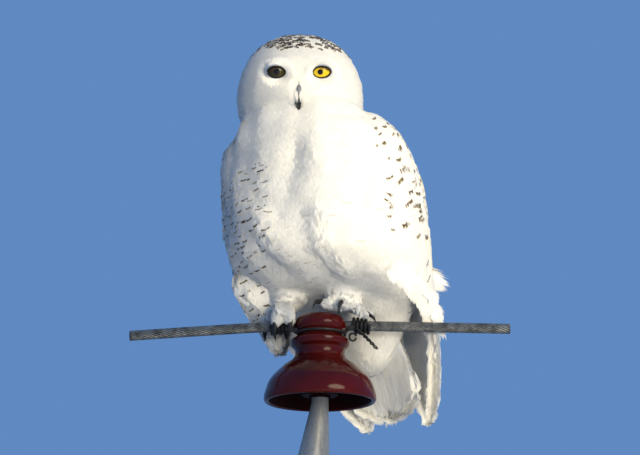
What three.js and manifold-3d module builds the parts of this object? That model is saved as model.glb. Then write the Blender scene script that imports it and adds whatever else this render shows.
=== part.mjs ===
// A life-size snowy owl, perched where a line conductor crosses a pin insulator, on a plain display stand.
// Millimetres, +Z up. The origin is the middle of the stand's underside. The owl's body faces -Y, its left
// side is +X, and its head is turned to its left, square to the conductor.
import * as THREE from "three";
import { mergeVertices } from "three/addons/utils/BufferGeometryUtils.js";
import Module from "manifold-3d";

const wasm = await Module();
wasm.setup();

const gap = 0.3; // left between pieces that touch
const degree = Math.PI / 180;

// ---- Driving dimensions -------------------------------------------------------------------------------
const base = { radius: 140, thickness: 20, chamfer: 2.5 };
const insulatorHeight = 111;
const skirtRadius = 70;
const pinHoleRadius = 13;
const pinHoleDepth = 34; // of solid crown left above the hole
const rodLength = 300; // of stand that shows between the base and the insulator's rim
const perchTop = base.thickness + rodLength + insulatorHeight;

const turn = 38 * degree; // from the body's lateral axis to the conductor, and the head's turn
const bodyOffset = new THREE.Vector2(-5, -4); // body's midline from the insulator's axis

const conductor = { radius: 6.5, reach: 240, centre: -13.4, grooveRadius: 12, grooveCentre: -8.2 };
const tie = { radius: 2, turns: 4, pitch: 5, wrapStart: 42, grooveHeight: -25, grooveRadius: 32.4 };

// ---- Frames -------------------------------------------------------------------------------------------
// A point beside the perch: h along the conductor, d across it towards the owl's back, z from the crown's top.
const atPerch = (h, d, z) =>
  new THREE.Vector3(
    h * Math.cos(turn) - d * Math.sin(turn),
    h * Math.sin(turn) + d * Math.cos(turn),
    z + perchTop,
  );

// A point in the body: x to its left, y to its back, z from the crown's top.
const inBody = (x, y, z) => new THREE.Vector3(x + bodyOffset.x, y + bodyOffset.y, z + perchTop);
const toLeft = new THREE.Vector3(1, 0, 0);
const toFront = new THREE.Vector3(0, -1, 0);

// ---- Solids -------------------------------------------------------------------------------------------
function signedVolume(geometry) {
  const p = geometry.attributes.position;
  const index = geometry.index.array;
  const [a, b, c] = [new THREE.Vector3(), new THREE.Vector3(), new THREE.Vector3()];
  let sum = 0;
  for (let i = 0; i < index.length; i += 3) {
    a.fromBufferAttribute(p, index[i]);
    b.fromBufferAttribute(p, index[i + 1]);
    c.fromBufferAttribute(p, index[i + 2]);
    sum += a.dot(b.cross(c)) / 6;
  }
  return sum;
}

// The geometry with shared corners merged and its faces pointing out.
function closed(geometry) {
  const bare = geometry.clone();
  bare.deleteAttribute("normal");
  bare.deleteAttribute("uv");
  const merged = mergeVertices(bare, 1e-4);
  if (signedVolume(merged) < 0) {
    const index = merged.index.array;
    for (let i = 0; i < index.length; i += 3) {
      [index[i + 1], index[i + 2]] = [index[i + 2], index[i + 1]];
    }
  }
  return merged;
}

function solidOf(geometry) {
  const merged = closed(geometry);
  return new wasm.Manifold(
    new wasm.Mesh({
      numProp: 3,
      vertProperties: new Float32Array(merged.attributes.position.array),
      triVerts: new Uint32Array(merged.index.array),
    }),
  );
}

// The same shape with every corner moved out along its normal.
function grown(geometry, by = gap) {
  const merged = closed(geometry);
  merged.computeVertexNormals();
  const { position, normal } = merged.attributes;
  for (let i = 0; i < position.count; i++) {
    position.setXYZ(
      i,
      position.getX(i) + normal.getX(i) * by,
      position.getY(i) + normal.getY(i) * by,
      position.getZ(i) + normal.getZ(i) * by,
    );
  }
  return merged;
}

const mirrored = (geometry) => geometry.clone().applyMatrix4(mirrorInBody);
const mirrorInBody = new THREE.Matrix4()
  .makeTranslation(2 * bodyOffset.x, 0, 0)
  .multiply(new THREE.Matrix4().makeScale(-1, 1, 1));

// A number that runs smoothly through a row of values as t goes from 0 to 1. Past its ends the row is
// mirrored: widths change sign there, so that they close to a round tip.
function through(values, t, isWidth = false) {
  const last = values.length - 1;
  const at = (i) => {
    if (i < 0) return isWidth ? -values[-i] : values[-i];
    if (i > last) return isWidth ? -values[2 * last - i] : values[2 * last - i];
    return values[i];
  };
  const i = Math.min(last - 1, Math.floor(t * last));
  const u = t * last - i;
  const [a, b, c, d] = [at(i - 1), at(i), at(i + 1), at(i + 2)];
  return b + 0.5 * u * (c - a + u * (2 * a - 5 * b + 4 * c - d + u * (3 * (b - c) + d - a)));
}

// A closed body lofted through stations {at, side, front, back, curl}. side, front and back are half widths
// along the side and front axes, and curl is the radius to which the section wraps round its own back.
function loft(stations, axes, columns, rows) {
  const geometry = new THREE.SphereGeometry(1, columns, rows);
  const p = geometry.attributes.position;
  const row = (key) => stations.map((s) => s[key] ?? 0);
  const [side, front, back] = ["side", "front", "back"].map(row);
  const bend = stations.map((s) => (s.curl ? 1 / (2 * s.curl) : 0));
  const [x, y, z] = ["x", "y", "z"].map((k) => stations.map((s) => s.at[k]));
  const centre = (t) => new THREE.Vector3(through(x, t), through(y, t), through(z, t));
  for (let i = 0; i < p.count; i++) {
    const t = Math.acos(THREE.MathUtils.clamp(p.getY(i), -1, 1)) / Math.PI;
    const angle = Math.atan2(p.getZ(i), -p.getX(i));
    const c = centre(t);
    const { sideAxis, frontAxis } = axes(t, centre);
    const across = Math.max(through(side, t, true), 0) * Math.cos(angle);
    const depth = Math.max(through(Math.sin(angle) > 0 ? front : back, t, true), 0);
    const out = depth * Math.sin(angle) - across * across * through(bend, t);
    c.addScaledVector(sideAxis, across).addScaledVector(frontAxis, out);
    p.setXYZ(i, c.x, c.y, c.z);
  }
  return geometry;
}

// Axes square to the loft's own path, the side axis turned as near as it can be to a given direction.
const pathAxes = (sideAt) => (t, centre) => {
  const step = 0.02;
  const tangent = centre(Math.min(1, t + step)).sub(centre(Math.max(0, t - step))).normalize();
  const wanted = sideAt(t);
  const sideAxis = wanted.clone().addScaledVector(tangent, -wanted.dot(tangent)).normalize();
  return { sideAxis, frontAxis: new THREE.Vector3().crossVectors(sideAxis, tangent) };
};

// A round limb through points, with a radius at each, closing to a tip at both ends. It is made larger all
// round by extra.
function limb(points, radii, columns, rows, extra = 0) {
  const last = points.length - 1;
  const beyond = (tip, next) => tip.clone().add(tip.clone().sub(next).setLength(extra));
  const stations = points.map((point, i) => {
    const radius = i === 0 || i === last ? 0 : radii[i] + extra;
    let at = point;
    if (i === 0) at = beyond(point, points[1]);
    if (i === last) at = beyond(point, points[last - 1]);
    return { at, side: radius, front: radius, back: radius };
  });
  return loft(stations, pathAxes(() => new THREE.Vector3(0.31, 0.27, 0.91)), columns, rows);
}

// ---- Head ---------------------------------------------------------------------------------------------
const head = {
  centre: new THREE.Vector3(1, -44, 282),
  side: 85,
  front: 66,
  back: 76,
  up: 87,
  down: 84,
  pitch: 25 * degree,
  eyeSpacing: 57,
  eyeHeight: 36,
  eyeRadius: 17.5,
  eyeDepth: 44, // of the eyeball's middle in front of the head's own
};
const headMatrix = new THREE.Matrix4()
  .makeTranslation(head.centre.x, head.centre.y, head.centre.z + perchTop)
  .multiply(new THREE.Matrix4().makeRotationZ(turn))
  .multiply(new THREE.Matrix4().makeRotationX(head.pitch));

// Forms of the face, each pushed forwards by its height around a point beside the bill.
const faceForms = [
  { x: 34, z: 20, wide: 30, tall: 34, push: 8 }, // facial disc
  { x: 29.7, z: 36, wide: 12, tall: 10, push: -7 }, // eye hollow
  { x: 20, z: 52, wide: 13, tall: 9, push: 5 }, // brow
  { x: 0, z: 20, wide: 8, tall: 20, push: 9 }, // bristles along the bill
  { x: 13, z: 0, wide: 12, tall: 11, push: 5 }, // bristles beside the bill
];

// How far the face's forms push a point forwards.
function facePush(x, z) {
  let push = 0;
  for (const form of faceForms) {
    for (const sign of form.x ? [-1, 1] : [1]) {
      const away = ((x - sign * form.x) / form.wide) ** 2 + ((z - form.z) / form.tall) ** 2;
      push += form.push * Math.exp(-away / 2);
    }
  }
  return push;
}

// The face's surface straight in front of the head's middle.
const faceFront = (z) =>
  -head.front * Math.sqrt(1 - (z / (z < 0 ? head.down : head.up)) ** 2) - facePush(0, z);

function headGeometry() {
  const geometry = new THREE.SphereGeometry(1, 22, 14).rotateX(Math.PI / 2);
  const p = geometry.attributes.position;
  const roundness = 0.9;
  for (let i = 0; i < p.count; i++) {
    const [ux, uy, uz] = [p.getX(i), p.getY(i), p.getZ(i)];
    const x = Math.sign(ux) * Math.abs(ux) ** roundness * head.side;
    const z = uz * (uz < 0 ? head.down : head.up);
    const facing = THREE.MathUtils.smoothstep(-uy, 0.15, 0.75);
    const y = uy * (uy < 0 ? head.front : head.back) - facing * facePush(x, z);
    p.setXYZ(i, x, y, z);
  }
  return geometry.applyMatrix4(headMatrix);
}

const eyePlace = (sign) =>
  new THREE.Vector3((sign * head.eyeSpacing) / 2, -head.eyeDepth, head.eyeHeight);

const eyeGeometry = (sign, radius) =>
  new THREE.SphereGeometry(radius, 12, 7)
    .translate(...eyePlace(sign).toArray())
    .applyMatrix4(headMatrix);

// The almond between the lids, cut through the feathers down to the eyeball.
const lidOpening = (sign) =>
  new THREE.SphereGeometry(1, 12, 6)
    .scale(12.5, 30, 8.6)
    .translate(...eyePlace(sign).add(new THREE.Vector3(0, -26, 0)).toArray())
    .applyMatrix4(headMatrix);

// The bill hangs from between the eyes. Only its ridge and hooked tip stand out of the bristles. Each
// point is a height, how far it stands out of the face, and the bill's radius there.
const billPoints = {
  upper: [[26, -6, 0], [17, -3, 5], [7, -1, 5.6], [-2, 0.5, 4.4], [-9, 0, 2.4], [-14, -4, 0]],
  lower: [[10, -12, 0], [2, -9, 4.4], [-6, -6.5, 3.2], [-11, -7, 0]],
};

function billGeometry(points, columns, rows) {
  const path = points.map(([z, out]) => new THREE.Vector3(0, faceFront(z) - out, z));
  return limb(path, points.map((q) => q[2]), columns, rows).applyMatrix4(headMatrix);
}

// ---- Neck, trunk, wings and tail ------------------------------------------------------------------------
const neckStations = [
  { at: inBody(5, -38, 290), side: 0, front: 0, back: 0 },
  { at: inBody(5, -36, 264), side: 78, front: 64, back: 71 },
  { at: inBody(2, -28, 238), side: 101, front: 85, back: 91 },
  { at: inBody(0, -20, 212), side: 96, front: 86, back: 90 },
  { at: inBody(0, -16, 196), side: 0, front: 0, back: 0 },
];

const trunkStations = [
  { at: inBody(0, -22, 256), side: 0, front: 0, back: 0 },
  { at: inBody(-1, -18, 240), side: 105, front: 91, back: 92 },
  { at: inBody(-1, -6, 211), side: 126, front: 107, back: 112 },
  { at: inBody(-1, 6, 170), side: 135, front: 116, back: 120 },
  { at: inBody(0, 10, 120), side: 132, front: 118, back: 124 },
  { at: inBody(0, 16, 78), side: 130, front: 118, back: 122 },
  { at: inBody(0, 28, 44), side: 120, front: 98, back: 108 },
  { at: inBody(0, 78, 18), side: 92, front: 36, back: 60 },
  { at: inBody(0, 94, -10), side: 62, front: 28, back: 42 },
  { at: inBody(0, 100, -40), side: 44, front: 26, back: 38 },
  { at: inBody(0, 106, -66), side: 0, front: 0, back: 0 },
];

// The folded wing, from the wrist to the tips of its longest feathers. out is the way its surface faces,
// from straight sideways towards the back.
const wingStations = [
  { x: 90, y: -12, z: 256, width: 0, thickness: 0, out: 10 },
  { x: 109, y: 7, z: 224, width: 49, thickness: 15, out: 12 },
  { x: 119, y: 38, z: 172, width: 66, thickness: 16, out: 16 },
  { x: 113, y: 70, z: 118, width: 72, thickness: 16, out: 28 },
  { x: 92, y: 108, z: 66, width: 72, thickness: 14, out: 42 },
  { x: 76, y: 138, z: 12, width: 60, thickness: 12, out: 54 },
  { x: 60, y: 160, z: -46, width: 42, thickness: 8, out: 60 },
  { x: 50, y: 182, z: -124, width: 0, thickness: 0, out: 62 },
];

function wingGeometry() {
  const out = wingStations.map((w) => w.out * degree);
  const stations = wingStations.map((w) => ({
    at: inBody(w.x, w.y, w.z),
    side: w.width,
    front: w.thickness,
    back: w.thickness,
    curl: 118,
  }));
  const alongWidth = (t) => new THREE.Vector3(Math.sin(through(out, t)), -Math.cos(through(out, t)), 0);
  return loft(stations, pathAxes(alongWidth), 14, 12);
}

const tailStations = [
  { y: 102, z: 46, width: 0, thickness: 0 },
  { y: 116, z: 24, width: 36, thickness: 13 },
  { y: 134, z: -12, width: 46, thickness: 10 },
  { y: 148, z: -50, width: 55, thickness: 7.5 },
  { y: 160, z: -88, width: 58, thickness: 6 },
  { y: 168, z: -114, width: 0, thickness: 0 },
].map((t) => ({
  at: inBody(0, t.y, t.z),
  side: t.width,
  front: t.thickness,
  back: t.thickness,
  curl: 150,
}));

// Flank feathers that hang over the outside of the right leg.
const flankStations = [
  { at: inBody(-80, -10, 88), side: 0, front: 0, back: 0 },
  { at: inBody(-84, -12, 56), side: 26, front: 46, back: 50 },
  { at: inBody(-78, -12, 24), side: 25, front: 38, back: 46 },
  { at: inBody(-72, -2, -4), side: 20, front: 20, back: 34 },
  { at: inBody(-66, 4, -28), side: 13, front: 14, back: 22 },
  { at: inBody(-62, 6, -46), side: 0, front: 0, back: 0 },
];

// Two tufts that the wind has blown out from the left wing's edge: root, middle, tip and radius of each.
const tufts = [
  { root: [82, 100, 68], middle: [96, 128, 60], tip: [110, 152, 54], radius: 17 },
  { root: [78, 112, 30], middle: [90, 138, 22], tip: [98, 154, 18], radius: 12 },
];

function tuftGeometry({ root, middle, tip, radius }) {
  const points = [root, middle, tip].map((point) => inBody(...point));
  return limb([points[0], points[0].clone().lerp(points[1], 0.5), points[1], points[2]],
    [0, radius, radius * 0.92, 0], 8, 7);
}

// ---- Legs, toes and claws -------------------------------------------------------------------------------
// Each foot in perch coordinates: its ankle, and for each toe the path of the toe and of its claw.
const feet = {
  right: {
    ankle: [-47, 9, 14],
    toes: [
      { path: [[-45, 14, 9], [-44, 24, 0], [-43, 26, -14]], claw: [[-43, 25, -12], [-43, 22, -24], [-42, 12, -29]] },
      { path: [[-44, 0, 11], [-39, -15, 3], [-37, -20, -14]], claw: [[-37, -21, -10], [-38, -24, -24], [-40, -13, -33]] },
      { path: [[-50, 0, 11], [-54, -15, 3], [-55, -20, -16]], claw: [[-56, -21, -12], [-58, -24, -27], [-55, -14, -37]] },
      { path: [[-55, 10, 9], [-66, 16, 1], [-70, 19, -14]], claw: [[-70, 19, -11], [-72, 17, -24], [-69, 8, -30]] },
    ],
  },
  left: {
    ankle: [30, 6, 14],
    toes: [
      { path: [[30, 12, 10], [31, 26, 7], [32, 38, -6]], claw: [[32, 37, -4], [32, 42, -15], [31, 39, -24]] },
      { path: [[24, -6, 11], [14, -17, 10], [3, -24, 9]], claw: [[4, -23, 11], [-7, -32, 14], [-9, -40, -2]] },
      { path: [[30, -8, 11], [29, -21, 10], [27, -31, 7]], claw: [[27, -30, 9], [25, -41, 8], [22, -42, -9]] },
      { path: [[38, -2, 11], [50, -11, 6], [59, -17, -4]], claw: [[58, -16, -2], [66, -20, -2], [70, -22, -15]] },
    ],
  },
};
const toeRadius = 8.6;
const clawRadius = 3.4;
const at = (point) => atPerch(...point);

function toeGeometry(ankle, path, extra) {
  const [root, knuckle, tip] = path.map(at);
  const start = at(ankle).lerp(root, 0.3);
  const end = tip.clone().add(tip.clone().sub(knuckle).setLength(toeRadius * 0.6));
  const radii = [0, 1.1, 1.05, 0.85, 0].map((share) => share * toeRadius);
  return limb([start, root, knuckle, tip, end], radii, 7, 7, extra);
}

function clawGeometry(path, extra) {
  const curve = new THREE.QuadraticBezierCurve3(...path.map(at));
  const shares = [0, 0.12, 0.4, 0.7, 0.94, 1];
  const radii = [0, 1, 0.85, 0.55, 0.24, 0].map((share) => share * clawRadius);
  return limb(shares.map((share) => curve.getPoint(share)), radii, 6, 7, extra);
}

function legGeometry(ankle, extra) {
  const foot = at(ankle);
  const thigh = inBody(foot.x > bodyOffset.x ? 42 : -42, 10, 60);
  const sole = foot.clone().lerp(thigh, -0.16);
  return limb([thigh, foot.clone().lerp(thigh, 0.45), foot, sole], [0, 26, 16, 0], 12, 7, extra);
}

// ---- Perch ----------------------------------------------------------------------------------------------
// The insulator's outline: crown, tie groove, ring, neck, flared skirt, rim, hollow underside, pin hole.
const insulatorProfile = [
  [0, 0], [22, 0], [31, -6], [34, -16], [30, -21], [29.5, -26], [37, -32], [37, -39], [32, -44], [31.5, -52],
  [36, -58], [47, -66], [59, -77], [67, -92], [70, -104], [67, -111], [62, -107], [57, -93], [46, -82],
  [28, -78], [24, -100], [20, -103], [pinHoleRadius, -101], [pinHoleRadius, -pinHoleDepth], [0, -pinHoleDepth],
];

const lathe = (profile, bottom, segments) =>
  new THREE.LatheGeometry(profile.map(([r, y]) => new THREE.Vector2(r, y)), segments)
    .rotateX(Math.PI / 2)
    .translate(0, 0, bottom);

// The pin's wide part stands to one side, so that the pin tapers on that side alone.
const pin = { wide: 19, narrow: 10.5, taper: 72 };
function leaning(geometry, rim) {
  const p = geometry.attributes.position;
  for (let i = 0; i < p.count; i++) {
    const share = THREE.MathUtils.clamp((rim - p.getZ(i)) / pin.taper, 0, 1);
    const shift = (pin.narrow - pin.wide) * share;
    p.setXYZ(i, p.getX(i) + shift * Math.cos(turn), p.getY(i) + shift * Math.sin(turn), p.getZ(i));
  }
  return geometry;
}

// A round bar along a curve, closed at both ends.
function bar(curve, radius, sides, steps) {
  const section = new THREE.Shape(
    Array.from({ length: sides }, (_, i) => {
      const angle = (2 * Math.PI * i) / sides;
      return new THREE.Vector2(radius * Math.cos(angle), radius * Math.sin(angle));
    }),
  );
  return new THREE.ExtrudeGeometry(section, { steps, bevelEnabled: false, extrudePath: curve });
}

// The conductor lies in the crown's groove and falls away on both sides, more on the owl's right.
const conductorFall = { right: Math.tan(4 * degree), left: Math.tan(1.2 * degree), level: 30 };
function conductorHeight(h) {
  const past = Math.max(0, Math.abs(h) - conductorFall.level);
  const eased = (past * past) / (past + conductorFall.level);
  return conductor.centre - eased * (h < 0 ? conductorFall.right : conductorFall.left);
}
class ConductorCurve extends THREE.Curve {
  getPoint(t, target = new THREE.Vector3()) {
    const h = (2 * t - 1) * conductor.reach;
    return target.copy(atPerch(h, 0, conductorHeight(h)));
  }
}

// The tie wire: wrapped round the conductor, led down round the front of the neck, up and wrapped again.
function tieCurve() {
  const points = [];
  const wrapRadius = conductor.radius + tie.radius + 3 * gap;
  const stepsPerTurn = 8;
  for (const side of [-1, 1]) {
    const wrap = [];
    for (let i = 0; i <= tie.turns * stepsPerTurn; i++) {
      const angle = (2 * Math.PI * i) / stepsPerTurn;
      const h = side * (tie.wrapStart + (i / stepsPerTurn) * tie.pitch);
      wrap.push(
        atPerch(h, -wrapRadius * Math.cos(angle), conductorHeight(h) + wrapRadius * Math.sin(angle)),
      );
    }
    const lead = [atPerch(side * 38.5, -13, -19)];
    for (let angle = 22; angle < 90; angle += 17) {
      const [c, s] = [Math.cos(angle * degree), Math.sin(angle * degree)];
      lead.push(atPerch(side * tie.grooveRadius * c, -tie.grooveRadius * s, tie.grooveHeight));
    }
    if (side < 0) points.push(...wrap.reverse(), ...lead);
    else points.push(...lead.reverse(), ...wrap);
  }
  return new THREE.CatmullRomCurve3(points);
}

// What a toe must keep clear of: the conductor with its wraps, and the crown.
function perchClearance() {
  const wrapped = conductor.radius + 2 * tie.radius + 4 * gap;
  const path = (from, to) =>
    new THREE.LineCurve3(atPerch(from, 0, conductorHeight(from)), atPerch(to, 0, conductorHeight(to)));
  const wrapEnd = tie.wrapStart + tie.turns * tie.pitch + tie.radius + gap;
  const sleeves = [-1, 1].map((side) =>
    solidOf(bar(path(side * (tie.wrapStart - 4), side * wrapEnd), wrapped, 12, 1)),
  );
  const bare = solidOf(bar(new ConductorCurve(), conductor.radius + 2 * gap, 10, 14));
  const crown = solidOf(grown(lathe(insulatorProfile, perchTop, 18)));
  return bare.add(sleeves[0]).add(sleeves[1]).add(crown).add(solidOf(grown(tieGeometry())));
}

const tieGeometry = () => bar(tieCurve(), tie.radius, 3, 68);

// ---- Colours --------------------------------------------------------------------------------------------
const finish = (color, roughness, metalness = 0) =>
  new THREE.MeshStandardMaterial({ color, roughness, metalness });
const finishes = {
  plumage: finish(0xf1efe8, 0.9),
  wingPlumage: finish(0xe9e5da, 0.85),
  iris: finish(0xe3b008, 0.15),
  horn: finish(0x17161a, 0.35),
  glaze: finish(0x5b120c, 0.12),
  strand: finish(0x8d918f, 0.45, 0.85),
  tieMetal: finish(0x1d1c1c, 0.5, 0.6),
  pinMetal: finish(0xa7a79f, 0.6, 0.5),
  baseWood: finish(0x4a3a2c, 0.5),
};

// ---- Assembly -------------------------------------------------------------------------------------------
const owl = new THREE.Group();

function place(name, solid, material, parent = owl) {
  const { vertProperties, triVerts } = solid.getMesh();
  const geometry = new THREE.BufferGeometry()
    .setAttribute("position", new THREE.BufferAttribute(vertProperties, 3))
    .setIndex(new THREE.BufferAttribute(triVerts, 1));
  geometry.computeVertexNormals();
  const mesh = new THREE.Mesh(geometry, material);
  mesh.name = name;
  parent.add(mesh);
  return mesh;
}

// Takes every cutter away from a solid.
const without = (solid, ...cutters) => cutters.reduce((left, cutter) => left.subtract(cutter), solid);

function buildHead() {
  const geometry = headGeometry();
  const bill = billGeometry(billPoints.upper, 8, 9);
  const lowerBill = billGeometry(billPoints.lower, 7, 6);
  const openings = [-1, 1].flatMap((sign) => [
    solidOf(eyeGeometry(sign, head.eyeRadius + gap)),
    solidOf(lidOpening(sign)),
  ]);
  const skull = without(solidOf(geometry), ...openings, solidOf(grown(bill)), solidOf(grown(lowerBill)));
  place("head", largest(skull), finishes.plumage);
  place("eye_right", solidOf(eyeGeometry(-1, head.eyeRadius)), finishes.iris);
  place("eye_left", solidOf(eyeGeometry(1, head.eyeRadius)), finishes.iris);
  place("bill_upper", solidOf(bill), finishes.horn);
  place("bill_lower", largest(without(solidOf(lowerBill), solidOf(grown(bill)))), finishes.horn);
  return solidOf(grown(geometry)).add(solidOf(grown(bill))).add(solidOf(grown(lowerBill)));
}

// Cutting can leave crumbs behind, so only the largest body is kept.
function largest(solid) {
  return solid.decompose().reduce((a, b) => (a.volume() > b.volume() ? a : b));
}

function buildBody(headRoom) {
  const upright = () => ({ sideAxis: toLeft, frontAxis: toFront });
  const neck = loft(neckStations, upright, 16, 6);
  const trunk = loft(trunkStations, upright, 20, 13);
  const leftWing = wingGeometry();
  const tail = loft(tailStations, pathAxes(() => toLeft), 16, 10);
  const flank = loft(flankStations, upright, 12, 10);
  const blown = tufts.map(tuftGeometry);
  const room = Object.fromEntries(
    Object.entries({ neck, trunk, leftWing, rightWing: mirrored(leftWing), tail, flank }).map(
      ([name, geometry]) => [name, solidOf(grown(geometry))],
    ),
  );
  const perch = perchClearance();
  const rightWing = mirrored(leftWing);
  place("neck", largest(without(solidOf(neck), headRoom)), finishes.plumage);
  const body = without(solidOf(trunk), headRoom, room.neck, room.leftWing, room.rightWing, room.flank, perch);
  place("trunk", largest(body), finishes.plumage);
  const wingCut = [headRoom, room.neck, perch];
  place("wing_left", largest(without(solidOf(leftWing), ...wingCut)), finishes.wingPlumage);
  place("wing_right", largest(without(solidOf(rightWing), ...wingCut)), finishes.wingPlumage);
  place("flank_right", largest(without(solidOf(flank), perch)), finishes.plumage);
  blown.forEach((tuft, i) => {
    const cut = [room.trunk, room.leftWing, room.tail, ...blown.slice(0, i).map((g) => solidOf(grown(g)))];
    place(`wing_tuft_${i + 1}`, largest(without(solidOf(tuft), ...cut)), finishes.plumage);
  });
  const tailCut = [room.trunk, room.leftWing, room.rightWing, perch];
  place("tail", largest(without(solidOf(tail), ...tailCut)), finishes.plumage);
  return { taken: [room.trunk, room.flank, room.leftWing, room.rightWing], perch };
}

function buildFoot(name, foot, body) {
  const leg = legGeometry(foot.ankle);
  const legRoom = solidOf(legGeometry(foot.ankle, 2 * gap));
  place(`leg_${name}`, largest(without(solidOf(leg), ...body.taken, body.perch)), finishes.plumage);
  const taken = [...body.taken, body.perch, legRoom];
  foot.toes.forEach((toe, i) => {
    const geometry = toeGeometry(foot.ankle, toe.path);
    place(`toe_${name}_${i + 1}`, largest(without(solidOf(geometry), ...taken)), finishes.plumage);
    taken.push(solidOf(toeGeometry(foot.ankle, toe.path, 2 * gap)));
  });
  foot.toes.forEach((toe, i) => {
    const claw = largest(without(solidOf(clawGeometry(toe.claw)), ...taken));
    place(`claw_${name}_${i + 1}`, claw, finishes.horn);
    taken.push(solidOf(clawGeometry(toe.claw, gap)));
  });
}

function buildPerch() {
  const [from, to] = [-60, 60].map((h) => atPerch(h, 0, conductor.grooveCentre));
  const groove = new THREE.LineCurve3(from, to);
  const crownCut = solidOf(bar(groove, conductor.grooveRadius, 16, 1));
  const insulator = solidOf(lathe(insulatorProfile, perchTop, 18));
  place("perch_insulator", largest(without(insulator, crownCut)), finishes.glaze);
  place("perch_conductor", solidOf(bar(new ConductorCurve(), conductor.radius, 8, 12)), finishes.strand);
  place("perch_tie_wire", solidOf(tieGeometry()), finishes.tieMetal);
}

function buildStand() {
  const top = perchTop - pinHoleDepth - gap;
  const rim = base.thickness + rodLength;
  const shank = pinHoleRadius - gap;
  const foot = base.thickness + gap;
  const rod = [
    [0, foot], [27, foot], [27, foot + 6], [pin.wide, foot + 12], [pin.wide, rim - pin.taper], [pin.narrow, rim],
    [pin.narrow, rim + 6], [shank, rim + 14], [shank, top - 2], [shank - 2, top], [0, top],
  ];
  place("stand_rod", solidOf(leaning(lathe(rod, 0, 14), rim)), finishes.pinMetal);
  const { radius, thickness, chamfer } = base;
  const plate = [
    [0, 0], [radius - chamfer, 0], [radius, chamfer], [radius, thickness - chamfer],
    [radius - chamfer, thickness], [0, thickness],
  ];
  place("stand_base", solidOf(lathe(plate, 0, 34)), finishes.baseWood);
}

const body = buildBody(buildHead());
buildFoot("right", feet.right, body);
buildFoot("left", feet.left, body);
buildPerch();
buildStand();

export default owl;
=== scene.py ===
import math

import bpy
import numpy as np
from mathutils import Matrix, Vector
from mathutils.bvhtree import BVHTree
from mathutils.kdtree import KDTree


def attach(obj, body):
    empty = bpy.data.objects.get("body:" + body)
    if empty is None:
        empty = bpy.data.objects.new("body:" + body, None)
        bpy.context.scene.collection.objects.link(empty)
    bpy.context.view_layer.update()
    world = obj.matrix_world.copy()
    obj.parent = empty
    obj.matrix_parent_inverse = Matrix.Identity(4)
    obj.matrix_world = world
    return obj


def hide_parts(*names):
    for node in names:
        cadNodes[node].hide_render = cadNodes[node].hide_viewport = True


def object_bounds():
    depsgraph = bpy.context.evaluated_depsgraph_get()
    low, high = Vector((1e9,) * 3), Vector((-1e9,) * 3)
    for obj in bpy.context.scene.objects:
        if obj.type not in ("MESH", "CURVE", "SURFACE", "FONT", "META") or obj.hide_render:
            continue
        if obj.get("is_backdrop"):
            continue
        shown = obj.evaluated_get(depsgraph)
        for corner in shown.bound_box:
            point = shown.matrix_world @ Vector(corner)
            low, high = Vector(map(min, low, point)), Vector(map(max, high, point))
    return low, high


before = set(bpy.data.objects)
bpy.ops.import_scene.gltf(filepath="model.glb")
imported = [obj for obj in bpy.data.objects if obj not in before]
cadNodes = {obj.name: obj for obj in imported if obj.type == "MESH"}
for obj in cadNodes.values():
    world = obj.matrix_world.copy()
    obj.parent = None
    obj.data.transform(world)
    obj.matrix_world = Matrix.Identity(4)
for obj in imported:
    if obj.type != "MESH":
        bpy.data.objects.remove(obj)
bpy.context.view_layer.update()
rng = np.random.default_rng(11)

mm = 0.001
turn = math.radians(38)  # from the body to the line, and to the head
perchTop = 431 * mm
bodyPlace = np.array([-0.005, -0.004, perchTop])
lineAxis = np.array([math.cos(turn), math.sin(turn), 0.0])
backAxis = np.array([-math.sin(turn), math.cos(turn), 0.0])
upAxis = np.array([0.0, 0.0, 1.0])


# Three frames, in millimetres: by the perch, in the body and in the head.
def atPerch(points):
    p = np.asarray(points, float) * mm
    flat = p[..., :1] * lineAxis + p[..., 1:2] * backAxis + p[..., 2:] * upAxis
    return flat + [0, 0, perchTop]


def inBody(points):
    return np.asarray(points, float) * mm + bodyPlace


headCentre = np.array([0.001, -0.044, 0.282 + perchTop])
headTurn = np.array(Matrix.Rotation(turn, 3, "Z") @ Matrix.Rotation(math.radians(25), 3, "X"))
outOfFace = np.array([0, -1.0, 0]) @ headTurn.T


def inHead(points):
    return np.asarray(points, float) * mm @ headTurn.T + headCentre


def toHead(points):
    return (points - headCentre) @ headTurn / mm


def toPerch(points):
    p = points - [0, 0, perchTop]
    return np.stack([p @ lineAxis, p @ backAxis, p[..., 2]], -1) / mm


def toBody(points):
    return (points - bodyPlace) / mm


def unit(v):
    return v / (np.linalg.norm(v, axis=-1, keepdims=True) + 1e-12)


def ramp(x, low, high):
    t = np.clip((x - low) / (high - low), 0, 1)
    return t * t * (3 - 2 * t)


def alongPath(path, points):
    # nearest place on a bent line: share of the way, distance and direction there
    path = np.asarray(path, float)
    best = np.full(len(points), 1e9)
    share = np.zeros(len(points))
    heading = np.zeros((len(points), 3))
    for i in range(len(path) - 1):
        a, b = path[i], path[i + 1]
        t = np.clip((points - a) @ (b - a) / ((b - a) @ (b - a)), 0, 1)
        away = np.linalg.norm(points - a - t[:, None] * (b - a), axis=1)
        near = away < best
        best[near] = away[near]
        share[near] = ((i + t) / (len(path) - 1))[near]
        heading[near] = (b - a) / np.linalg.norm(b - a)
    return share, best, heading


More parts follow.
